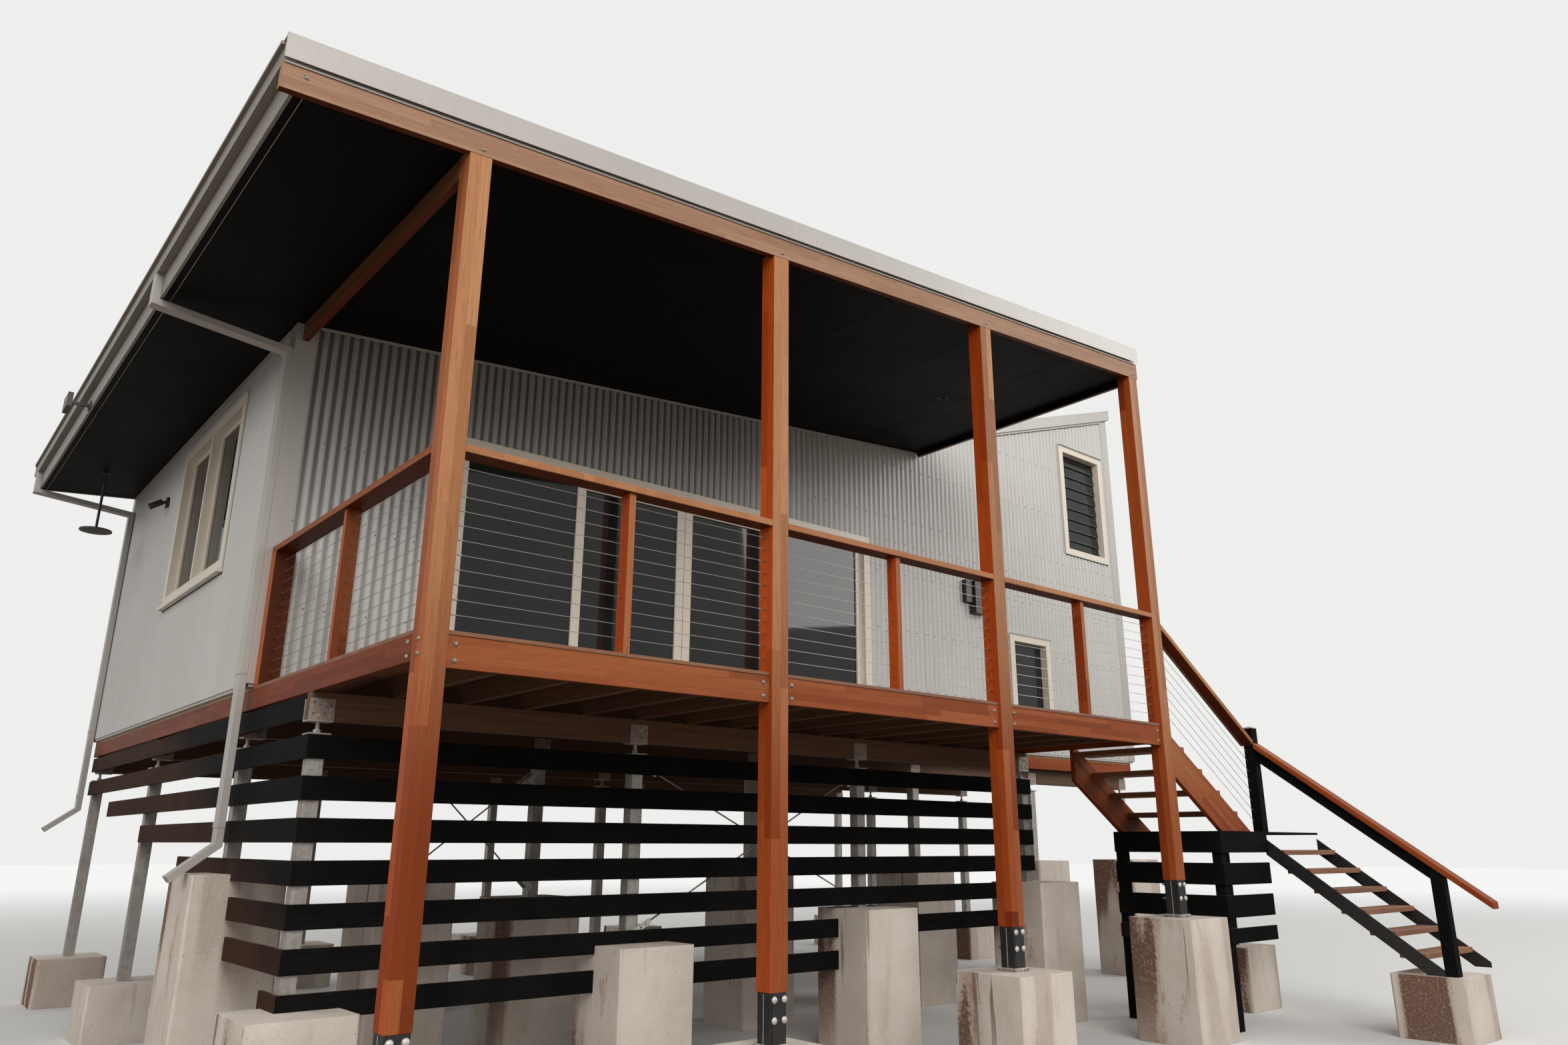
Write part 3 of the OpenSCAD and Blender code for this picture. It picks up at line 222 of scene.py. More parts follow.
def softened(bm, name, look, width, segments=2, body="house"):
    """Piece of bm with its edges eased. Each solid gets a number of its own and, for the
    grain, coordinates across, up and along its longest edge."""
    ease(bm, [e for e in bm.edges if e.is_manifold and e.calc_face_angle(0) > SHARP], width, segments)
    number = bm.verts.layers.float.new("board")
    grain = bm.verts.layers.float_vector.new("grain")
    for mine, group in enumerate(sorted(islands(bm), key=lambda group: tuple(group[0].co))):
        edges = [e for v in group for e in v.link_edges]
        longest = max(edges, key=lambda e: e.calc_length())
        along = (longest.verts[1].co - longest.verts[0].co).normalized()
        side = along.cross(Vector((0.02, 0.01, 1))) if abs(along.z) < 0.9 else Vector((1, 0, 0))
        side = (side - along * side.dot(along)).normalized()
        third = along.cross(side)
        flat = [Vector((side.dot(v.co), third.dot(v.co), along.dot(v.co))) for v in group]
        low = Vector([min(p[i] for p in flat) for i in range(3)])
        for vert, spot in zip(group, flat):
            vert[number] = mine
            vert[grain] = spot - low
    return piece_from(bm, name, look, body)


def welded(node):
    """Copy of a node's mesh to work on, with its doubled corners joined."""
    bm = bmesh.new()
    bm.from_mesh(nodes[node].data)
    bmesh.ops.remove_doubles(bm, verts=bm.verts, dist=WELD)
    return bm


def eased(name, node, look, width, segments=2, body="house", shape=None):
    """Copy of a node with its edges eased, which stands for it. shape may work on it first."""
    bm = welded(node)
    bmesh.ops.dissolve_limit(bm, angle_limit=0.02, verts=bm.verts, edges=bm.edges)
    if shape:
        shape(bm)
    piece = softened(bm, name, look, width, segments, body)
    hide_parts(node)
    return piece


def afterwards(change):
    """Turns a change to a bm into one to the mesh of a finished piece."""
    def work(piece, *spots, **shares):
        bm = bmesh.new()
        bm.from_mesh(piece.data)
        change(bm, *spots, **shares)
        bm.to_mesh(piece.data)
        bm.free()
    return work


concrete = Finish("cast_concrete", Roughness=0.86)
cast = concrete.place
wet = concrete.attribute("wet")
under = concrete.attribute("under")
cloud = cast.noise(2.3, 5, 0.6)
speck = cast.noise(90, 4, 0.7)
mottle = cast.noise(48, 5, 0.7)
broad = cast.noise(1.9, 3, 0.5, (1, 1, 0.14)) + (mottle - 0.5) * 0.09
run = cast.noise(13, 3, 0.5, (1, 1, 0.05)) + (mottle - 0.5) * 0.05
fringe = broad.clear(0.50, 0.56) * (1 - under.clear(0.5, 1.6))
wash = broad.clear(0.545, 0.575) * (1 - under.clear(0.35, 1.3))
drip = run.clear(0.62, 0.66) * (1 - under.clear(0.1, 0.9))
rust = (cast.noise(5.5, 6, 0.75, (1, 1, 0.35)) + (mottle - 0.5) * 0.12).clear(0.58, 0.66)
pit = 1 - cast.cells(38).clear(0.05, 0.13) * cast.cells(11).clear(0.035, 0.06)
shade = (cloud * 0.75 + speck * 0.35).ramp(
    (0.30, (0.55, 0.475, 0.41)), (0.52, (0.67, 0.595, 0.525)), (0.75, (0.75, 0.69, 0.625)))
shade = shade.tint((0.36, 0.21, 0.135, 1), fringe * wet * 0.55)
shade = shade.tint((0.115, 0.042, 0.022, 1), wash * wet * mottle.clear(0.25, 0.5) * 0.85)
shade = shade.tint((0.13, 0.06, 0.036, 1), drip * wet * 0.75)
shade = shade.tint((0.36, 0.15, 0.065, 1), rust * wet * 0.45)
shade = shade.tint((0.14, 0.115, 0.095, 1), pit * 0.6)
concrete.paint(shade, None, cloud * 0.5 + speck * 0.25 - pit * 0.8, 0.5, 0.004)
chance = random.Random(11)
CHIPS = (0.0008, 0.0015, 0.0025, 0.005)


def chipped(bm):
    """Divides a cast block and knocks its edges back by a few millimetres, by chance."""
    bmesh.ops.subdivide_edges(bm, edges=bm.edges[:], cuts=7, use_grid_fill=True)
    for group in islands(bm):
        middle = sum((v.co for v in group), Vector()) / len(group)
        for vert in sorted(group, key=lambda v: tuple(v.co)):
            if any(e.is_manifold and e.calc_face_angle(0) > SHARP for e in vert.link_edges):
                inward = Vector((middle.x - vert.co.x, middle.y - vert.co.y, 0)).normalized()
                vert.co += inward * chance.choice(CHIPS)


@afterwards
def stained(bm):
    """Writes which faces the rain runs down, and how far below the top each point is."""
    wet_side = bm.faces.layers.float.new("wet")
    under_top = bm.verts.layers.float.new("under")
    for face in bm.faces:
        face[wet_side] = 0.1 if face.normal.z > 0.5 else 0.25 + 0.75 * max(0.0, -face.normal.x)
    for group in islands(bm):
        top = max(v.co.z for v in group)
        for vert in group:
            vert[under_top] = top - vert.co.z


for name, node in (("piers", "front_piers"), ("blocks", "stump_blocks")):
    stained(eased(name, node, ("concrete", concrete.material), 0.006, shape=chipped))


# Steel stumps of hot-dip galvanised square tube, each with a head plate, a levelling
# screw and nut, and a bracket that holds the bearer. The cheeks of the brackets are plates
# with two rows of holes, and screws sit in some of these.
zinc = Finish("galvanised_steel", Metallic=0.75)
flake = zinc.place.cells(60, 1)
grey = flake.node("ShaderNodeRGBToBW", {}, {0: flake})
dull = zinc.place.noise(7, 4, 0.6)
streaks = zinc.place.noise(55, 4, 0.6, (1, 1, 0.04))
zinc_tone = (grey * 0.3 + streaks * 0.7).ramp((0.25, (0.33, 0.315, 0.29)), (0.7, (0.50, 0.48, 0.45)))
zinc_tone = zinc_tone.tint((0.27, 0.235, 0.20, 1), dull.clear(0.45, 0.7) * 0.5)
galvanised = ("galvanised_steel", zinc.paint(zinc_tone, dull * 0.3 + 0.38, grey, 0.04))


def rotated(degrees, axis):
    return Matrix.Rotation(math.radians(degrees), 4, axis)


TURN = {"front": rotated(90, "X"), "back": rotated(-90, "X"), "left": rotated(-90, "Y"),
        "right": rotated(90, "Y"), "down": rotated(180, "X")}


def facing(side, spot):
    return Matrix.Translation(spot) @ TURN[side]


def turned(profile, steps):
    """Mesh of a profile of (radius, height) points turned about Z."""
    bm = bmesh.new()
    verts = [bm.verts.new((r, 0, z)) for r, z in profile]
    edges = [bm.edges.new(pair) for pair in zip(verts, verts[1:])]
    bmesh.ops.spin(bm, geom=verts + edges, cent=(0, 0, 0), axis=(0, 0, 1), angle=math.tau,
                   steps=steps)
    bmesh.ops.remove_doubles(bm, verts=bm.verts, dist=0.000001)
    outward(bm)
    return mesh_of(bm, "turned")


def scattered(name, mesh, places, look, soft=False):
    """One piece of many copies of a small mesh."""
    bm = bmesh.new()
    for place in places:
        first = len(bm.verts)
        bm.from_mesh(mesh)
        bm.verts.ensure_lookup_table()
        bmesh.ops.transform(bm, matrix=place, verts=bm.verts[first:])
    for face in bm.faces:
        face.smooth = soft
    return piece_from(bm, name, look)


def corners(group):
    """Lowest and highest corner of some vertices."""
    return [[pick(v.co[axis] for v in group) for axis in range(3)] for pick in (min, max)]


def cut(bm, spot, normal, drop=False):
    """Cuts all faces by a plane. If asked, drops what lies on its normal's side and closes
    the solids again."""
    bmesh.ops.bisect_plane(bm, geom=bm.verts[:] + bm.edges[:] + bm.faces[:], dist=0.00001,
                           plane_co=spot, plane_no=normal, clear_outer=drop)
    if drop:
        bmesh.ops.holes_fill(bm, edges=[e for e in bm.edges if e.is_boundary], sides=0)


def topped(height):
    """A shape that ends at a height."""
    return lambda bm: cut(bm, (0, 0, height), (0, 0, 1), drop=True)


def solids(node, above=None):
    """Corners of each separate solid of a node, or of what is above a height."""
    bm = welded(node)
    if above is not None:
        cut(bm, (0, 0, above), (0, 0, -1), drop=True)
    found = sorted(corners(group) for group in islands(bm))
    bm.free()
    return found


CHEEK_T = 0.005
CHEEK_H = 0.13
seat_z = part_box("steel_stumps")[1][2] - CHEEK_H + 0.0002
eased("stumps", "steel_stumps", galvanised, 0.0012, 1, shape=topped(seat_z))
cheeks = solids("steel_stumps", above=seat_z)
cheek_w = cheeks[0][1][0] - cheeks[0][0][0]
holes = [((column - 1.5) * cheek_w * 0.22, (row - 0.5) * CHEEK_H * 0.5 + side * 0.006)
         for column, side in enumerate((1, -1, 1, -1)) for row in range(2)]


def perforated(width, height, spots, radius):
    """Plate with round holes, in the XY plane, its front at Z 0."""
    bm = bmesh.new()
    w = width / 2
    h = height / 2
    angles = [math.tau * k / 10 for k in range(10)]
    rings = [[(-w, -h), (w, -h), (w, h), (-w, h)]]
    for x, y in spots:
        rings.append([(x + radius * math.cos(a), y + radius * math.sin(a)) for a in angles])
    edges = []
    for ring in rings:
        verts = [bm.verts.new((x, y, 0)) for x, y in ring]
        edges += [bm.edges.new(pair) for pair in zip(verts, verts[1:] + verts[:1])]
    bmesh.ops.triangle_fill(bm, edges=edges, use_beauty=True, use_dissolve=False)
    bmesh.ops.solidify(bm, geom=bm.faces[:], thickness=CHEEK_T)
    outward(bm)
    low = min(v.co.z for v in bm.verts)
    bmesh.ops.translate(bm, vec=(0, 0, -CHEEK_T - low), verts=bm.verts)
    return mesh_of(bm, "perforated")


def cheek_side(low, high):
    """Which way the cheek faces, and the middle of its outer face."""
    partner = [other for other in cheeks if abs(other[0][0] - low[0]) < 0.001
               and 0.001 < abs(other[0][1] - low[1]) < 0.2]
    front = partner[0][0][1] > low[1]
    middle = ((low[0] + high[0]) / 2, low[1] if front else high[1], (low[2] + high[2]) / 2)
    return ("front" if front else "back"), Vector(middle)


def mottled(name, scale, colours, rough=None, detail=3, grain=0.5, bump=None, stops=(0.3, 0.7),
            **constants):
    """Material mottled between two colours. rough is how far its roughness varies, and from
    what."""
    metal = Finish(name, **constants)
    film = metal.place.noise(scale, detail, grain)
    varied = film * rough[0] + rough[1] if rough else None
    return metal.paint(film.ramp(*zip(stops, colours)), varied, film if bump else None, bump)


plate = mottled("dull_plate", 22, ((0.26, 0.21, 0.18), (0.40, 0.335, 0.29)), (0.2, 0.42), 4, 0.6, 0.05,
                Metallic=0.5)
cheek_places = [facing(*cheek_side(*pair)) for pair in cheeks]
scattered("bracket_cheeks", perforated(cheek_w, CHEEK_H, holes, 0.006), cheek_places,
          ("galvanised_steel", plate))
screw_spots = [holes[2], holes[5], (0.055, 0.004), holes[6]]
hex_head = turned([(0.011, 0), (0.011, 0.0015), (0.008, 0.002), (0.0075, 0.007), (0, 0.0085)], 10)
scattered("bracket_screws", hex_head, [place @ Matrix.Translation((x, y, 0))
                                       for place in cheek_places for x, y in screw_spots],
          galvanised)
eased("braces", "cross_braces", galvanised, 0.0006, 1)

# Perforated lugs of pale steel, bolted to the front of the stumps, hold the ends of the
# brace rods.
LUG_W = 0.165
LUG_H = 0.038
TUBE_MOST = 0.09
pale_steel = mottled("pale_galvanised", 70, ((0.50, 0.475, 0.44), (0.68, 0.66, 0.63)), (0.3, 0.3), 4, 0.6,
                     0.05, Metallic=0.35)
tubes = [pair for pair in solids("steel_stumps") if pair[1][0] - pair[0][0] < TUBE_MOST]
lug_places = []
rods = welded("cross_braces")
for group in sorted(islands(rods), key=lambda group: sum(corners(group)[0][:2])):
    ends = [pick(group, key=lambda v: v.co.x).co.copy() for pick in (min, max)]
    for here, there in (ends, ends[::-1]):
        along = (there - here).normalized()
        tube = min(tubes, key=lambda pair: abs(pair[0][0] - here.x) + abs(pair[0][1] - here.y))
        middle = here + along * (LUG_W / 2 - 0.035)
        middle.y = tube[0][1] - CHEEK_T
        slope = Matrix.Rotation(math.atan2(along.z, along.x), 4, "Z")
        lug_places.append(facing("front", middle) @ slope)
rods.free()
lug = perforated(LUG_W, LUG_H, [(-0.055, 0), (-0.010, 0), (0.035, 0)], 0.008)
scattered("brace_lugs", lug, lug_places, ("galvanised_steel", pale_steel))


# Shoes of black painted plate under the posts, in two halves with the pale edge of the
# plate between them. Four cup-head bolts go through to nuts at the back, and each shoe
# stands on a galvanised pad.
black = Finish("black_steel", Metallic=0.0)
scuff = black.place.noise(45, 4, 0.65)
dusty = black.place.noise(5, 3)
scuffed = scuff.ramp((0.35, (0.010, 0.010, 0.011)), (0.75, (0.028, 0.027, 0.026)))
black_paint = ("black_steel", black.paint(scuffed, dusty * 0.35 + 0.22, scuff, 0.08))
eased("shoes", "post_shoes", black_paint, 0.0012, 1)

bright = mottled("bolt_steel", 160, ((0.36, 0.35, 0.34), (0.56, 0.55, 0.53)), (0.3, 0.25), Metallic=0.85)
pad = mottled("weathered_galvanised", 40, ((0.16, 0.10, 0.07), (0.42, 0.38, 0.34)), (0.3, 0.45), 5, 0.7,
              0.1, (0.38, 0.60), Metallic=0.3)
posts = solids("deck_posts")
post_w = posts[0][1][0] - posts[0][0][0]
half = post_w / 2
shoe_bolts = []
shoe_nuts = []
shoe_edges = []
shoe_pads = []
for low, high in solids("post_shoes"):
    tall = high[2] - low[2]
    if tall < 0.1:
        continue
    x = (low[0] + high[0]) / 2
    for z in (high[2] - 0.12 * tall, high[2] - 0.49 * tall):
        for step in (-0.038, 0.038):
            shoe_bolts.append(facing("front", (x + step, -half, z)))
            shoe_nuts.append(facing("back", (x + step, half, z)))
    for side, edge in (("left", x - half), ("right", x + half)):
        shoe_edges.append(facing(side, (edge, -0.004, (low[2] + high[2]) / 2)))
    shoe_pads.append(Matrix.Translation((x, 0, low[2])))
    shoe_h = tall
cup_head = turned([(0.020, 0), (0.0205, 0.002), (0.0185, 0.006), (0.0135, 0.0105), (0.007, 0.013),
                   (0, 0.0138)], 16)
scattered("shoe_bolts", cup_head, shoe_bolts, ("black_steel", pale_steel), soft=True)
nut_and_end = turned([(0.017, 0), (0.017, 0.002), (0.0125, 0.0022), (0.0125, 0.012), (0.0065, 0.0125),
                      (0.0065, 0.030), (0.005, 0.0315), (0, 0.0315)], 6)
scattered("shoe_nuts", nut_and_end, shoe_nuts, ("black_steel", bright))


def slab(size, width, segments=2):
    """Mesh of a block with eased edges, standing on Z 0."""
    bm = bmesh.new()
    bmesh.ops.create_cube(bm, size=1)
    bmesh.ops.scale(bm, vec=size, verts=bm.verts)
    bmesh.ops.translate(bm, vec=(0, 0, size[2] / 2), verts=bm.verts)
    ease(bm, bm.edges[:], width, segments)
    return mesh_of(bm, "slab")


edge_strip = slab((shoe_h - 0.012, 0.0042, 0.0012), 0.0004, 1)
scattered("shoe_edges", edge_strip, shoe_edges, ("black_steel", pale_steel))
for name, wider, thick, width, steel in (("shoe_pads", 0.026, 0.019, 0.002, pad),
                                         ("shoe_pad_tops", 0.020, 0.024, 0.001, pale_steel)):
    square = slab((post_w + wider, post_w + wider, thick), width)
    scattered(name, square, shoe_pads, ("galvanised_steel", steel))


# Posts, rims, roof beams and rails of oiled hardwood, glued up from staves of mixed red and
# brown. A stave ends in a butt joint after a metre or less, and the next one may differ.
def laminated(name, stave, length, contrast):
    wood = Finish(name, Specular_IOR_Level=0.08)
    across, up, along = wood.attribute("grain", 1).parts()
    board = (wood.attribute("board") + 0.5).floor()
    across_cell = across * 0.95 / stave + 0.03
    up_cell = up * 0.95 / stave + 0.03
    cell = across_cell.floor() * 7 + up_cell.floor()
    end = along / length + cell.vector(cell, board, 0.5).chance() * 5
    tone = (cell.vector(cell + 0.5, board, end.floor()).chance() - 0.5) * contrast + 0.5
    streak = cell.vector(across * 130 + tone * 40, up * 130 + cell * 5, along * 5 + board).noise(1, 4, 0.65)
    pore = cell.vector(across * 1100, up * 1100, along * 60 + tone * 9).noise(1, 2)
    oiled = tone.ramp((0.0, (0.12, 0.020, 0.005)), (0.25, (0.21, 0.038, 0.009)),
                      (0.6, (0.275, 0.058, 0.015)), (1.0, (0.34, 0.092, 0.030)))
    bleached = tone.ramp((0.0, (0.30, 0.125, 0.054)), (0.25, (0.36, 0.158, 0.070)),
                         (0.6, (0.43, 0.200, 0.092)), (1.0, (0.48, 0.240, 0.116)))
    greyed = tone.ramp((0.0, (0.30, 0.175, 0.115)), (1.0, (0.40, 0.250, 0.170)))
    fiery = tone.ramp((0.0, (0.40, 0.052, 0.006)), (1.0, (0.66, 0.108, 0.012)))
    height = wood.place.parts()[2]
    colour = oiled.tint(fiery, wood.attribute("fresh") * (height.clear(1.8, 2.9) * 0.5 + 0.5))
    colour = colour.tint(bleached, wood.attribute("weather") * (height.clear(1.5, 3.3) * 0.95 + 0.05))
    colour = colour.tint(greyed, wood.attribute("silver") * height.clear(2.3, 3.6))
    colour = colour.tint((0.13, 0.033, 0.011, 1), streak.clear(0.42, 0.78) * 0.42)
    colour = colour.tint((0.055, 0.016, 0.007, 1), pore.clear(0.60, 0.74) * 0.4)
    gaps = []
    for cells, size in ((across_cell, stave), (up_cell, stave), (end, length)):
        rest = cells.rest()
        gaps.append(rest.sum("MINIMUM", rest, 1 - rest) * size)
    seam = gaps[0].sum("MINIMUM", gaps[0], gaps[1])
    seam = 1 - seam.sum("MINIMUM", seam, gaps[2]).clear(0.0002, 0.0008)
    colour = colour.tint((0.07, 0.018, 0.007, 1), seam * 0.45)
    # Painted shade: faces that look down, stand far back beside the deck or face the left side are
    # darkened.
    colour = colour.tint((0.045, 0.010, 0.004, 1), wood.attribute("dull"))
    return wood.paint(colour, streak * 0.2 + 0.36, streak * 0.6 - pore * 0.25 - seam, 0.25, 0.0012)


@afterwards
def weathered(bm, left=1.0, grey=0.0, fade=0.0, dull=0.0, side=0.0):
    """Writes how much sun and rain reaches each face: most at the front and on top, and as
    much on the left side as left says; it falls by fade towards the stair. grey is for faces
    that have lost their oil. The last two arguments paint shade as a darker colour: the first
    on faces that look down or stand far back beside the deck, side on those of the left side."""
    layer = bm.faces.layers.float.new("weather")
    silver = bm.faces.layers.float.new("silver")
    fresh = bm.faces.layers.float.new("fresh")
    dark = bm.faces.layers.float.new("dull")
    for face in bm.faces:
        spot = face.calc_center_median()
        turn = face.normal
        outer = spot.x < post_w or spot.y < -half * 0.8
        open_side = max(-turn.y, turn.z, left * -turn.x * (spot.x < 0.1))
        left_side = spot.x < 0.1 and spot.y > half
        share = 0.2 if left_side and turn.y < -0.5 else 1.0 if outer else 0.5
        faded = 1 - fade * min(1.0, max(0.0, spot.x / 6.8))
        face[layer] = max(0.05, min(1.0, open_side)) * share * faded
        far = min(1.0, max(0.0, spot.x / 4.6 + (grey > 0.5)))
        face[silver] = min(1.0, max(0.3 * turn.z, -turn.y * grey * far, 0.0))
        face[fresh] = max(0.0, -turn.x) * (1 - side) * (0.85 if spot.x < 5 else 0.4)
        face[dark] = max(0.0, -turn.z * dull, -turn.y * left_side * dull * spot.y / 2.8,
                         -turn.x * left_side * side * (0.6 + spot.y * 0.05))


staves = ("post_timber", laminated("laminated_posts", 0.0675, 1.15, 1.0))
slats = ("post_timber", laminated("laminated_boards", 0.043, 0.74, 0.62))
weathered(eased("posts", "deck_posts", staves, 0.004), left=0.6, grey=0.2)


# Bearers, joists and purlins of sawn structural timber, with a paler, rougher face than the
# posts. Their colour is kept dark as painted shade, for the shade under the deck.
def sawn(name, low, high, rough):
    wood = Finish(name)
    across, up, along = wood.attribute("grain", 1).parts()
    board = wood.attribute("board")
    ring = board.vector(across * 70 + board * 3.7, up * 70, along * 1.6).noise(1, 4, 0.6)
    fibre = board.vector(across * 700, up * 700, along * 16).noise(1, 3)
    colour = (ring * 0.75 + fibre * 0.3).ramp((0.38, low), (0.68, high))
    odd = board.node("ShaderNodeTexWhiteNoise", {"noise_dimensions": "1D"}, {"W": (board + 0.5).floor()})
    colour = colour.tint((*(c * 0.6 for c in low), 1), odd * 0.45)
    return wood.paint(colour, fibre * 0.2 + rough, fibre + ring * 0.4, 0.3, 0.001)


framing = ("frame_timber", sawn("shade_darkened_framing", (0.085, 0.038, 0.017), (0.17, 0.082, 0.037), 0.6))
for node in ("bearers", "joists", "purlins"):
    eased(node, node, framing, 0.003, 1)

# Rim boards round the deck and the house floor, glued up like the posts and fixed to them
# with domed bolts.
weathered(eased("rims", "rim_boards", slats, 0.0025), left=0.05, fade=0.75, dull=0.6, side=0.6)
rims = solids("rim_boards")
aged = ("post_timber", mottled("aged_bolt", 130, ((0.20, 0.165, 0.125), (0.42, 0.375, 0.31)),
                               (0.3, 0.35), Metallic=0.55))
small_bolt = turned([(0.0145, 0), (0.0145, 0.0022), (0.0115, 0.003), (0.0108, 0.0062), (0.0078, 0.0092),
                     (0.004, 0.0108), (0, 0.0112)], 14)
rim_bolts = []
for low, high in rims:
    if high[1] < 0.2:
        for x in (low[0] + 0.05, high[0] - 0.05):
            for z in (high[2] - 0.045, low[2] + 0.04):
                rim_bolts.append(facing("front", (x, low[1], z)))
left_rim = min(rims, key=lambda pair: (pair[0][0], -pair[1][1]))
for z in (left_rim[1][2] - 0.035, left_rim[0][2] + 0.03):
    rim_bolts.append(facing("left", (left_rim[0][0], left_rim[0][1] + 0.05, z)))
    rim_bolts.append(facing("left", (posts[0][0][0], -0.02, z)))
scattered("rim_bolts", small_bolt, rim_bolts, aged, soft=True)


# Deck boards and stair treads of brown hardwood with eased edges. The boards lie across the
# joists with narrow gaps.
decking = ("deck_timber", sawn("deck_hardwood", (0.20, 0.075, 0.032), (0.34, 0.145, 0.066), 0.45))
eased("decking", "deck_boards", decking, 0.002)
eased("treads", "stair_treads", decking, 0.003)


# Walls lined inside with painted sheets, and a house floor of plain wooden sheets, both
# fixed straight to the frame.
def plain(name, colour, rough, grain=40.0):
    paint = Finish(name)
    fine = paint.place.noise(grain, 4, 0.6)
    broad = paint.place.noise(1.3, 3)
    tone = (fine * 0.4 + broad * 0.6).ramp((0.3, tuple(c * 0.9 for c in colour)), (0.7, colour))
    return paint.paint(tone, fine * 0.12 + rough, fine, 0.1, 0.0006)


def dressed(names, material):
    """Gives the nodes that show as they are their material."""
    for node in names:
        nodes[node].data.materials.clear()
        nodes[node].data.materials.append(material)


dressed(("front_wall_left", "front_wall_over_door", "front_wall_right", "left_wall", "back_wall",
         "right_wall"), plain("wall_paint", (0.62, 0.60, 0.56), 0.7))
dressed(("house_floor",), plain("floor_sheet", (0.36, 0.25, 0.14), 0.5))


# Wall cladding of corrugated steel sheets. Each sheet covers 762 mm and laps over its
# neighbour by part of a rib; it is cut to the soffit line and round the openings.
steel = Finish("cladding_steel", Metallic=0.05)
haze = steel.place.noise(1.1, 4, 0.55)
rain = steel.place.noise(7, 4, 0.6, (1, 1, 0.08))
steel_tone = (haze * 0.6 + rain * 0.4).ramp((0.35, (0.54, 0.53, 0.505)), (0.65, (0.595, 0.585, 0.565)))
# Painted shade: the hollows and right-hand flanks of the ribs are a little darker on every sheet, and much
# darker on the front wall under the deck's roof, darker still higher up.
deep = steel.attribute("deep")
groove_shade = (steel.attribute("hollow") + steel.attribute("flank") * 0.35).clear(0.30, 0.80)
high_up = steel.place.parts()[2].clear(3.3, 4.7)
steel_tone = steel_tone.tint((0.045, 0.040, 0.035, 1), groove_shade * (deep * (high_up * 0.38 + 0.34) + 0.08))
steel_tone = steel_tone.tint((0.06, 0.050, 0.043, 1), high_up * deep * 0.42)
steel.paint(steel_tone, rain * 0.14 + 0.34, steel.place.noise(240, 2), 0.03)
PITCH = 0.0762
COVER = 10 * PITCH
WAVE = 0.0158
SHEET_T = 0.0008


def sheet(start, end, low, high):
    """One sheet in the XZ plane with its crests at Y 0 and its hollows behind."""
    bm = bmesh.new()
    steps = max(2, round((end - start) / PITCH * 8))
    bmesh.ops.create_grid(bm, x_segments=steps, y_segments=1, size=0.5)
    # For the painted shade of the ribs, each point also gets how far into a hollow it lies and which way
    # its flank faces.
    hollow = bm.verts.layers.float.new("hollow")
    flank = bm.verts.layers.float.new("flank")
    for vert in bm.verts:
        x = start + (vert.co.x + 0.5) * (end - start)
        wave = math.tau * x / PITCH
        vert[hollow] = (1 - math.cos(wave)) / 2
        vert[flank] = math.sin(wave)
        lap = 0.0012 * (end - x) / COVER
        vert.co = Vector((x, lap + WAVE / 2 * (1 - math.cos(wave)), low + (vert.co.y + 0.5) * (high - low)))
    return bm


def thicken(bm):
    """Gives a sheet its thickness, smooth along the ribs and sharp at the cut edges."""
    for face in bm.faces:
        face.smooth = True
    outward(bm)
    bmesh.ops.solidify(bm, geom=bm.faces[:], thickness=SHEET_T)
    for edge in bm.edges:
        if edge.is_manifold and edge.calc_face_angle(0) > 0.9:
            edge.smooth = False


def clad_wall(name, length, low, tops, holes, place, slot="cladding_steel"):
    """Sheets of one wall. tops are (x, z) points of the sloped top edge, holes are boxes."""
    whole = bmesh.new()
    high = max(z for x, z in tops) + 0.01
    for n in range(math.ceil(length / COVER)):
        start = n * COVER
        end = min((n + 1) * COVER + PITCH * 0.4, length)
        bm = sheet(start, end, low, high)
        for (x0, z0), (x1, z1) in zip(tops, tops[1:]):
            if x1 <= start or x0 >= end:
                continue
            for x in (x0, x1):
                if start + 0.001 < x < end - 0.001:
                    cut(bm, (x, 0, 0), (1, 0, 0))
            slope = Vector((x1 - x0, 0, z1 - z0)).normalized()
            above = [f for f in bm.faces if x0 - 0.0001 < f.calc_center_median().x < x1 + 0.0001]
            around = dict.fromkeys(part for f in above for part in (*f.edges, *f.verts))
            bmesh.ops.bisect_plane(bm, geom=above + list(around), dist=0.00001, plane_co=(x0, 0, z0),
                                   plane_no=(-slope.z, 0, slope.x), clear_outer=True)
        for x0, x1, z0, z1 in holes:
            if x1 <= start or x0 >= end:
                continue
            for x in (x0, x1):
                cut(bm, (x, 0, 0), (1, 0, 0))
            for z in (z0, z1):
                cut(bm, (0, 0, z), (0, 0, 1))
            gone = [f for f in bm.faces if x0 < f.calc_center_median().x < x1
                    and z0 < f.calc_center_median().z < z1]
            bmesh.ops.delete(bm, geom=gone, context="FACES")
        if not bm.faces:
            bm.free()
            continue
        thicken(bm)
        whole.from_mesh(mesh_of(bm, "sheet"))
    bmesh.ops.transform(whole, matrix=place, verts=whole.verts)
    return piece_from(whole, name, (slot, steel.material))


BEAM_LAP = 0.03
DECK_Z = 2.6
BEAM_CLEAR = 2.66
EAVE = 1.03
RIDGE_STEP = 0.1426
JUST = 0.0001
FRAME_LAP = 0.03
left_x, front_y, foot_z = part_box("wall_cladding")[0]
right_x, back_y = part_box("wall_cladding")[1][:2]
soffit_low, soffit_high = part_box("soffit_panels")
ridge = posts[-1][1][0]
tan_low = math.tan(math.radians(5.11))
tan_high = math.tan(math.radians(18.3))
under_left = DECK_Z + BEAM_CLEAR + BEAM_LAP


def soffit_at(x):
    """Underside of the soffit over the deck."""
    return under_left + tan_low * (x - posts[0][0][0] + EAVE)


def wall_top(x):
    """Upper edge of the walls, which steps up where the high roof starts."""
    return soffit_at(x) - 0.002 if x < ridge else high_top(x)


def high_top(x):
    return soffit_at(ridge) + RIDGE_STEP + tan_high * (x - ridge)


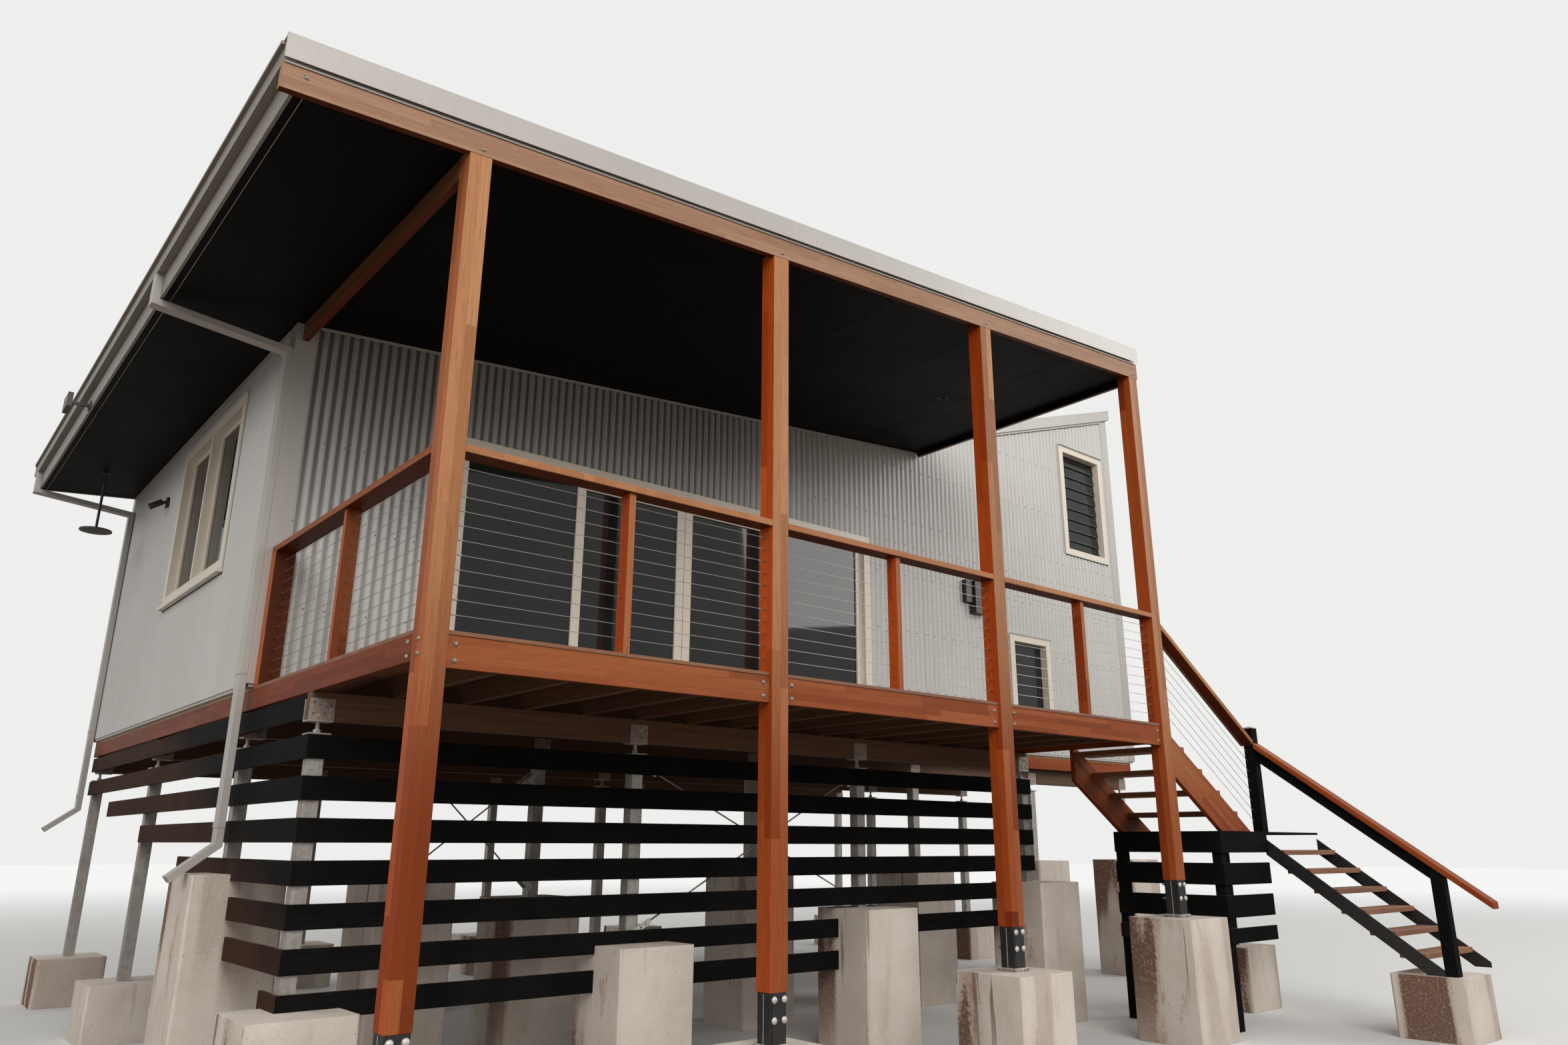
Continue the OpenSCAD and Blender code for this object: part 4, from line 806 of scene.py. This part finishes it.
frames = solids("window_frames")
openings = []
for low, high in frames + solids("door_frame"):
    if low[1] < front_y - 0.01 and high[0] - low[0] > 0.3 and high[2] - low[2] > 0.5:
        sill = low[2] + FRAME_LAP if low[2] > foot_z else foot_z - 0.1
        openings.append((low[0] + FRAME_LAP - left_x, high[0] - FRAME_LAP - left_x,
                         sill, high[2] - FRAME_LAP))
width = right_x - left_x
depth = back_y - front_y
front_tops = [(0, wall_top(left_x)), (ridge - left_x, wall_top(ridge - JUST)),
              (ridge - left_x + JUST, wall_top(ridge)), (width, wall_top(right_x))]
front_clad = clad_wall("cladding_front", width, foot_z, front_tops, openings,
                       Matrix.Translation((left_x, front_y, 0)))
back_tops = [(width - x, z) for x, z in reversed(front_tops)]
clad_wall("cladding_back", width, foot_z, back_tops, [],
          Matrix.Translation((right_x, back_y, 0)) @ rotated(180, "Z"))
beside = [pair for pair in frames if pair[0][0] < left_x - 0.01 and pair[1][2] - pair[0][2] > 0.5]
side_low, side_high = max(beside, key=lambda pair: pair[1][1] - pair[0][1])
side_hole = (back_y - side_high[1] + FRAME_LAP, back_y - side_low[1] - FRAME_LAP,
             side_low[2] + FRAME_LAP, side_high[2] - FRAME_LAP)
left_top = wall_top(left_x)
right_top = wall_top(right_x)
for name, top, gaps, corner, angle in (
        ("cladding_left", left_top, [side_hole], (left_x, back_y, 0), -90),
        ("cladding_right", right_top, [], (right_x, front_y, 0), 90)):
    clad_wall(name, depth, foot_z, [(0, top), (depth, top)], gaps,
              Matrix.Translation(corner) @ rotated(angle, "Z"))
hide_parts("wall_cladding")


@afterwards
def shaded_under_roof(bm, near, far):
    """Writes how far under the deck's roof each point is, for painted shade on the wall there: the
    hollows and the upper part are painted darker. It ends between near and far."""
    layer = bm.verts.layers.float.new("deep")
    for vert in bm.verts:
        vert[layer] = 1 - min(1.0, max(0.0, (vert.co.x - near) / (far - near)))


shaded_under_roof(front_clad, 3.8, 6.1)

# Screws of the cladding, on every second rib, in level rows with one more row along the
# sloped top and one above the doors. A thin cover mould closes the joint with the soffit.
aged_screw = ("cladding_steel", plain("dull_screw", (0.19, 0.175, 0.16), 0.45))
self_driller = turned([(0.0075, 0), (0.007, 0.0012), (0.0048, 0.0016), (0.0044, 0.005), (0, 0.0056)], 6)
ROWS = (2.65, 3.186, 3.826, 4.466, 5.106, 5.746, 6.386)
DOOR_ROW = 4.82
DOOR_ROW_FROM = 1.41


def clear_of(x, z, boxes):
    return all(not (x0 - 0.06 < x < x1 + 0.06 and z0 - 0.06 < z < z1 + 0.06) for x0, x1, z0, z1 in boxes)


def rows_below(top):
    return [z for z in ROWS if z < top - 0.12] + [top - 0.045]


def rib_pairs(length):
    """Places of every second rib on a wall."""
    return [2 * k * PITCH for k in range(1, int(length / PITCH / 2) + 1)]


screws = []
for across in rib_pairs(width):
    x = left_x + across
    for z in rows_below(wall_top(x)) + [DOOR_ROW] * (x > DOOR_ROW_FROM):
        if clear_of(across, z, openings):
            screws.append(facing("front", (x, front_y, z)))
    x = right_x - across
    for z in rows_below(wall_top(x)):
        screws.append(facing("back", (x, back_y, z)))
for across in rib_pairs(depth):
    for z in rows_below(right_top):
        screws.append(facing("right", (right_x, front_y + across, z)))
scattered("cladding_screws", self_driller, screws, aged_screw)


# Folded flashings, roof caps, gutter, fascia and downpipes of painted steel, the same pale
# grey as the walls, with a satin face and some dust. The left eave's gutter and fascia are a
# darker grey, which is painted shade and painted reflection.
def painted(name, colour, rough, metal=0.1):
    paint = Finish(name, Metallic=metal)
    broad = paint.place.noise(1.6, 4, 0.55)
    fine = paint.place.noise(30, 4, 0.6)
    run = paint.place.noise(12, 3, 0.6, (1, 1, 0.06))
    low = tuple(c * 0.88 for c in colour)
    tone = (broad * 0.5 + run * 0.3 + fine * 0.2).ramp((0.3, low), (0.65, colour))
    return paint.paint(tone, fine * 0.15 + rough, fine, 0.04, 0.0006)


flashing = ("flashing_steel", painted("flashing_steel", (0.47, 0.45, 0.42), 0.34))
# Painted shade and painted reflection: the left eave's steel is a darker grey.
eave = ("flashing_steel", painted("shaded_eave_steel", (0.25, 0.228, 0.195), 0.34))
for name, node, look, edge, segments in (
        ("flashings", "corner_flashings", flashing, 0.0008, 1), ("caps", "roof_caps", flashing, 0.0009, 1),
        ("fascia", "eave_fascia", eave, 0.003, 2), ("gutter_box", "gutter", eave, 0.0012, 2),
        ("pipes", "downpipes", flashing, 0.007, 3)):
    eased(name, node, look, edge, segments)


def bar(name, near, far, line, wide, high, look=flashing, width=0.001):
    """Straight bar between two points of a line, wide to its side and high along Z, with
    eased edges."""
    bm = bmesh.new()
    start, end = Vector(line(near)), Vector(line(far))
    side = Vector((0, 0, 1)).cross(end - start).normalized() * wide
    rise = Vector((0, 0, high))
    bm.faces.new([bm.verts.new(start + o) for o in (Vector(), side, side + rise, rise)])
    pushed(bm, bmesh.ops.extrude_face_region(bm, geom=bm.faces[:]), end - start)
    outward(bm)
    ease(bm, bm.edges[:], width, 1)
    return piece_from(bm, name, look)


CORNER_W = 0.155
mould_y = front_y - 0.002
bar("cover_mould", left_x + CORNER_W, ridge,
    lambda x: (x, mould_y, wall_top(min(x, ridge - JUST)) - 0.026), -0.006, 0.024)
bar("cover_mould_left", front_y + CORNER_W, back_y - CORNER_W,
    lambda y: (left_x - 0.002, y, left_top - 0.03), 0.006, 0.024)


# Windows with powder-coated frames: a sliding pair on the left wall, a louvre high beside
# the deck, and a fixed pane below. The sliding doors have the same frames.
cream = ("cream_frame", painted("cream_frame", (0.76, 0.69, 0.59), 0.32, 0.0))
for name, node, body in (("windows", "window_frames", "house"), ("door_surround", "door_frame", "house"),
                         ("left_leaf", "left_door_leaf", "left_sliding_door"),
                         ("right_leaf", "right_door_leaf", "right_sliding_door")):
    eased(name, node, cream, 0.0016, body=body)
# Painted shade: the glass is near black and four fifths opaque, so what lies behind it shows dark.
dressed(("fixed_glass", "louvre_blades", "left_door_glass", "right_door_glass"),
        mottled("glass_painted_dark", 2.2, ((0.010, 0.012, 0.012), (0.020, 0.022, 0.021)), Roughness=0.03, IOR=1.5,
                Alpha=0.8))
edge_glass = mottled("ground_glass_edge", 60, ((0.20, 0.21, 0.20), (0.36, 0.37, 0.35)), Roughness=0.35)
for number, (low, high) in enumerate(solids("louvre_blades")):
    bar("blade_edge_%d" % number, low[0] + 0.001, high[0] - 0.001,
        lambda x: (x, low[1] + 0.0022, low[2] + 0.0006), -0.0022, 0.0032, ("glass", edge_glass), 0.0004)

# Strips of black foam close the hollows of the sheets under the sills and under the high
# cap. They reach a little below the sills, so the hollows show dark there: partly a real
# closure, partly painted shade. A folded head flashing throws the rain off each window.
foam = ("cladding_steel", plain("closure_foam_and_shade", (0.012, 0.012, 0.012), 0.9, 200.0))
foam_y = front_y + 0.0156
for number, (low, high) in enumerate(pair for pair in frames if pair[0][1] < front_y - 0.01):
    bar("sill_foam_%d" % number, low[0] + 0.004, high[0] - 0.004,
        lambda x: (x, foam_y, low[2] - 0.006), -0.015, 0.02, foam)
    bar("head_flash_%d" % number, low[0] - 0.012, high[0] + 0.012,
        lambda x: (x, front_y - 0.0002, high[2] + 0.0004), -0.036, 0.0024, width=0.0006)
HIGH_MOULD = 0.036
bar("cover_mould_high", ridge + 0.002, right_x - CORNER_W,
    lambda x: (x, mould_y, high_top(x) - HIGH_MOULD), -0.003, 0.03)
bar("high_foam", ridge + 0.002, right_x - 0.16,
    lambda x: (x, foam_y, high_top(x) - HIGH_MOULD - 0.007), -0.015, 0.02, foam)
bar("side_sill_foam", side_low[1] + 0.004, side_high[1] - 0.004,
    lambda y: (left_x + 0.0156, y, side_low[2] - 0.006), 0.015, 0.02, foam)
bar("side_head_flash", side_low[1] + 0.01, side_high[1] - 0.01,
    lambda y: (left_x - 0.0002, y, side_high[2] + 0.0004), 0.03, 0.0024, width=0.0006)


# Roof beams of the same hardwood, with a domed bolt into every post. A folded apron closes
# the gap between the front beam and the roof's edge, and its lip hangs over the beam.
weathered(eased("beams", "roof_beams", slats, 0.0025), grey=0.85, dull=0.7, side=0.98)
beam_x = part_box("roof_beams")[0][0]


def beam_under(x):
    return soffit_at(x) - BEAM_LAP


def folded(name, profile, near, far, line):
    """Sheet folded along a line from near to far. profile is its section in (y, z) from it."""
    bm = bmesh.new()
    start = Vector(line(near))
    verts = [bm.verts.new(start + Vector((0, y, z))) for y, z in profile]
    edges = [bm.edges.new(pair) for pair in zip(verts, verts[1:])]
    pushed(bm, bmesh.ops.extrude_edge_only(bm, edges=edges), Vector(line(far)) - start)
    outward(bm)
    bmesh.ops.solidify(bm, geom=bm.faces[:], thickness=0.0012)
    return piece_from(bm, name, flashing)


face_y = posts[0][0][1]
APRON = ((-0.0085, 0.149), (-0.0085, 0.1625), (0.006, 0.1625), (0.006, 0.285))
LEFT_BOLT = (-0.976, face_y, 5.372)
folded("beam_apron", APRON, beam_x + 0.002, ridge - 0.002, lambda x: (x, face_y, beam_under(x)))
beam_bolts = []
for low, high in posts:
    middle = (low[0] + high[0]) / 2
    beam_bolts.append(facing("front", (middle + 0.01, face_y, beam_under(middle) + 0.04)))
beam_bolts.append(facing("front", LEFT_BOLT))
scattered("beam_bolts", small_bolt, beam_bolts, aged, soft=True)


# Plain folded fascias close the roof's edges behind the house and beside the deck, between
# the soffit and the sheets.
FASCIA_H = 0.262
deck_edge = (half + 0.002, front_y - 0.009)
rear_y = soffit_high[1] + 0.0004
folded("back_fascia", ((0, -0.012), (0.0012, -0.012), (0.0012, FASCIA_H)), beam_x + 0.09, ridge - 0.002,
       lambda x: (x, rear_y, soffit_at(x)))
bar("ridge_fascia", *deck_edge, lambda y: (ridge - 0.0032, y, soffit_at(ridge - 0.003) - 0.004),
    -0.0026, FASCIA_H, width=0.0006)


# Soffit of dark satin panels with open joints, a pale edge trim beside the fascia and a
# small round lamp.
black_panel = Finish("soffit_panel", Metallic=0.0, Specular_IOR_Level=0.06)
sheen = black_panel.place.noise(2.5, 4, 0.5)
satin = sheen.ramp((0.3, (0.0026, 0.0030, 0.0032)), (0.7, (0.0050, 0.0056, 0.0060)))
black_panel.paint(satin, sheen * 0.2 + 0.42, black_panel.place.noise(300, 2), 0.03)
soffit_look = ("black_lining", black_panel.material)
eased("soffit", "soffit_panels", soffit_look, 0.0015, 1)
trim_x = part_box("eave_fascia")[1][0] + 0.055
bar("soffit_trim", soffit_low[1] + 0.01, soffit_high[1] - 0.01,
    lambda y: (trim_x, y, soffit_at(trim_x) - 0.0035), -0.004, 0.003, width=0.0006)
# A board of the black soffit lining runs along the deck's right edge, below the soffit. The brown strip
# under it is a painted highlight of the board's lit lower edge.
board_x = ridge - 0.006
bar("soffit_board", *deck_edge, lambda y: (board_x, y, soffit_at(board_x) - 0.055), 0.03, 0.0546,
    soffit_look)
bar("soffit_board_highlight", *deck_edge, lambda y: (board_x + 0.003, y, soffit_at(board_x) - 0.0595), 0.036,
    0.0043, ("black_lining", plain("painted_edge_highlight", (0.17, 0.105, 0.08), 0.5)))
LAMP_X = 5.625
LAMP_Y = 1.36
lamp_ring = turned([(0.052, 0), (0.052, 0.004), (0.046, 0.007), (0.040, 0.0065), (0.037, 0.001),
                    (0.034, -0.004), (0, -0.006)], 28)
scattered("soffit_lamp", lamp_ring, [facing("down", (LAMP_X, LAMP_Y, soffit_at(LAMP_X) - 0.001))],
          black_paint, soft=True)


# Roof of corrugated steel sheets, nearly flat over the deck and steeper at the right. They
# run down the slope and are screwed to the purlins through every second rib.
SOFFIT_T = 0.012
PURLIN_H = 0.25
roof_low, roof_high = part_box("roof_sheets")
sheet_lift = BEAM_LAP + SOFFIT_T + PURLIN_H + 0.0006


def roof_plane(x, z, slope):
    """Frame with X running forward from the back edge, Z up the slope and Y into the roof."""
    return Matrix(((0, math.sin(slope), math.cos(slope), x),
                   (-1, 0, 0, roof_high[1] - 0.001),
                   (0, -math.cos(slope), math.sin(slope), z),
                   (0, 0, 0, 1)))


roof_screws = []
for name, start, end, tangent, length, short, rows in (
        ("roof_low", roof_low[0], ridge, tan_low, roof_high[1] - roof_low[1] - 0.002, 0.003, 8),
        ("roof_high", ridge, roof_high[0], tan_high, roof_high[1] - front_y + 0.025, 0.004, 5)):
    slope = math.atan(tangent)
    run = (end - start) / math.cos(slope)
    place = roof_plane(start + 0.001, soffit_at(start) - BEAM_LAP + sheet_lift + 0.0195, slope)
    roof = clad_wall(name, length, 0, [(0, run - short), (length, run - short)], [], place, "roof_steel")
    if name == "roof_low":
        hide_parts("roof_sheets")
    for row in range(rows):
        for across in rib_pairs(length):
            at = 0.12 + (run - 0.24) * row / (rows - 1)
            roof_screws.append(place @ facing("front", (across, 0, at)))
scattered("roof_screws", self_driller, roof_screws, ("roof_steel", bright))


# Slat screens, landing and stair posts of timber stained black, with a little wear, faces that
# look up paler from dust and from painted light from above, and splashed soil low on the left;
# the steel bars that carry the lower treads are painted black.
stain = Finish("black_stain", Specular_IOR_Level=0.02)
across, up, along = stain.attribute("grain", 1).parts()
board = (stain.attribute("board") + 0.5).floor()
fibre = board.vector(across * 260, up * 260, along * 5 + board).noise(1, 4, 0.6)
patch = stain.place.noise(3, 3)
worn = fibre * 0.7 + patch * 0.3
stain_tone = worn.ramp((0.35, (0.0035, 0.0038, 0.0041)), (0.72, (0.013, 0.0125, 0.012)))
x, y, z = stain.place.parts()
splashed = stain.attribute("splash") * (1 - (z - y * 0.42).clear(-0.1, 0.7)) * (fibre * 0.7 + patch * 0.5)
stain_tone = stain_tone.tint((0.075, 0.034, 0.022, 1), splashed)
# Faces that look up are paler: dust, and painted light from above.
stain_tone = stain_tone.tint((0.17, 0.115, 0.08, 1), stain.attribute("dust") * patch.clear(0.3, 0.6) * 0.75)
black_timber = ("black_slat", stain.paint(stain_tone, fibre * 0.25 + 0.45, fibre, 0.25, 0.0008))


@afterwards
def dusted_and_top_lit(bm):
    """Writes how much each face looks up, for tops that are dusty and get painted light from above, and
    where rain splashes soil, on the left.
    """
    dust = bm.faces.layers.float.new("dust")
    splash = bm.faces.layers.float.new("splash")
    for face in bm.faces:
        face[dust] = max(0.0, face.normal.z) ** 0.5
        face[splash] = max(0.0, -face.normal.x)


dusted_and_top_lit(eased("screens", "slat_screens", black_timber, 0.0022))

# Landing of black-stained timber: posts and a frame with boards laid across it. The steel
# bars beside it carry the lower treads.
LANDING_BOARDS = 8
BOARD_T = 0.021
BOARD_GAP = 0.005
landing_low, landing_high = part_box("landing")
eased("platform", "landing", black_timber, 0.003, shape=topped(landing_high[2] - BOARD_T))
bm = bmesh.new()
board_d = (landing_high[1] - landing_low[1]) / LANDING_BOARDS
for n in range(LANDING_BOARDS):
    made = bmesh.ops.create_cube(bm, size=1)["verts"]
    size = (landing_high[0] - landing_low[0], board_d - BOARD_GAP, BOARD_T - 0.0005)
    middle = ((landing_high[0] + landing_low[0]) / 2, landing_low[1] + (n + 0.5) * board_d,
              landing_high[2] - BOARD_T / 2 + 0.00025)
    bmesh.ops.scale(bm, vec=size, verts=made)
    bmesh.ops.translate(bm, vec=middle, verts=made)
softened(bm, "landing_boards", black_timber, 0.003)
eased("lower_bars", "lower_stringers", black_paint, 0.001, 1)

# Newel and end post of the stair, of the same black timber. The newel has a low pointed cap
# of pale steel.
CAP_H = 0.026
newel_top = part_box("stair_posts")[1][2] - CAP_H
eased("newels", "stair_posts", black_timber, 0.003, shape=topped(newel_top - 0.0002))
newel_low, newel_high = [pair for pair in solids("stair_posts") if pair[1][2] > newel_top][0]
newel_w = newel_high[0] - newel_low[0]
bm = bmesh.new()
bmesh.ops.create_cone(bm, cap_ends=True, segments=4, radius1=newel_w * 0.7071 - 0.001, radius2=0.006,
                      depth=0.02)
bmesh.ops.rotate(bm, cent=(0, 0, 0), matrix=Matrix.Rotation(math.pi / 4, 3, "Z"), verts=bm.verts)
bottom = [f for f in bm.faces if f.normal.z < -0.9]
pushed(bm, bmesh.ops.extrude_face_region(bm, geom=bottom), (0, 0, -0.006))
bmesh.ops.delete(bm, geom=bottom, context="FACES_ONLY")
outward(bm)
ease(bm, bm.edges[:], 0.001, 2)
middle = ((newel_low[0] + newel_high[0]) / 2, (newel_low[1] + newel_high[1]) / 2, newel_top + 0.016)
bmesh.ops.translate(bm, vec=middle, verts=bm.verts)
piece_from(bm, "newel_cap", ("black_slat", pale_steel))


# Rails, balusters and stair strings of laminated hardwood, and the stainless cables, which
# are stretched between the posts with swaged ends.
rail_staves = ("post_timber", laminated("laminated_rails", 0.0675, 1.8, 0.4))
weathered(eased("rails", "handrails", rail_staves, 0.005), left=0.5, dull=0.75, side=0.4)
weathered(eased("uprights", "balusters", slats, 0.003), left=0.5, dull=0.85)
weathered(eased("upper_stringers", "stair_stringers", slats, 0.003))
dressed(("rail_cables",), mottled("stainless_wire", 900, ((0.40, 0.40, 0.39), (0.62, 0.61, 0.60)),
                                  (0.2, 0.22), 2, Metallic=1.0))


# Shower rose, lamps and meter boxes of steel painted black, with rounded edges, screwed to
# the wall and the gutter.
eased("fittings", "outdoor_fittings", black_paint, 0.003)


# Studio: a pale floor that fades into a pale surround, soft light from all round with a
# larger soft lamp at the front, and the camera where the photograph was taken.
ground = Finish("floor", Roughness=0.9, Emission_Strength=1.0)
seen = ground.place.node("ShaderNodeLightPath")
bounce = ground.place.noise(0.6, 2).ramp((0.3, (0.30, 0.265, 0.24)), (0.7, (0.28, 0.25, 0.225)))
x, y, z = ground.place.parts()
away = x.sum("SQRT", (x - 4) * (x - 4) + (y - 3) * (y - 3)).clear(9, 42) * seen
ground.paint(bounce.tint((0.74, 0.735, 0.72, 1), seen).tint((0, 0, 0, 1), away))
away.ramp((0.0, (0, 0, 0)), (1.0, (0.86, 0.86, 0.85))).feed(ground.shader.inputs["Emission Color"])

bm = bmesh.new()
bmesh.ops.create_circle(bm, cap_ends=True, radius=90, segments=64)
bmesh.ops.translate(bm, vec=(4, 3, -0.001), verts=bm.verts)
mesh = mesh_of(bm, "floor")
mesh.materials.append(ground.material)
floor = placed("floor", mesh)

world = bpy.data.worlds.new("surround")
bpy.context.scene.world = world
world.use_nodes = True
sky = world.node_tree.nodes["Background"]
ray = world.node_tree.nodes.new("ShaderNodeLightPath")
direct, mirror, through = [Val(world.node_tree, ray.outputs["Is %s Ray" % kind])
                           for kind in ("Camera", "Glossy", "Transmission")]
sky.inputs["Color"].default_value = (0.86, 0.86, 0.85, 1)
(direct * 0.32 + mirror * 0.1 + through * 0.1 + 0.68).feed(sky.inputs["Strength"])

for name, spot, target, size, power, colour in (
        ("front_light", (-4, -16, 13), (4, 2, 3), 12, 2400, (1.0, 0.97, 0.93)),
        ("right_light", (20, -10, 12), (6, 2, 3), 9, 1100, (1.0, 0.98, 0.96)),
        ("left_light", (-26, 0, 13), (0, 4, 3), 14, 1500, (1.0, 0.97, 0.94))):
    light = bpy.data.lights.new(name, "AREA")
    light.size = size
    light.energy = power
    light.color = colour
    lamp = placed(name, light)
    lamp.location = spot
    lamp.rotation_euler = (Vector(target) - Vector(spot)).to_track_quat("-Z", "Y").to_euler()

camera = placed("camera", bpy.data.cameras.new("camera"))
camera.data.lens = 24.84
camera.data.sensor_width = 36.0
camera.data.clip_start = 0.1
camera.data.clip_end = 400
camera.rotation_mode = "QUATERNION"
turn = rotated(-40.579, "Z") @ rotated(90 + 16.579, "X") @ rotated(0.137, "Z")
camera.matrix_world = Matrix.Translation((-2.1665, -5.2795, 1.557)) @ turn
bpy.context.scene.camera = camera
bpy.context.scene.view_settings.view_transform = "Standard"
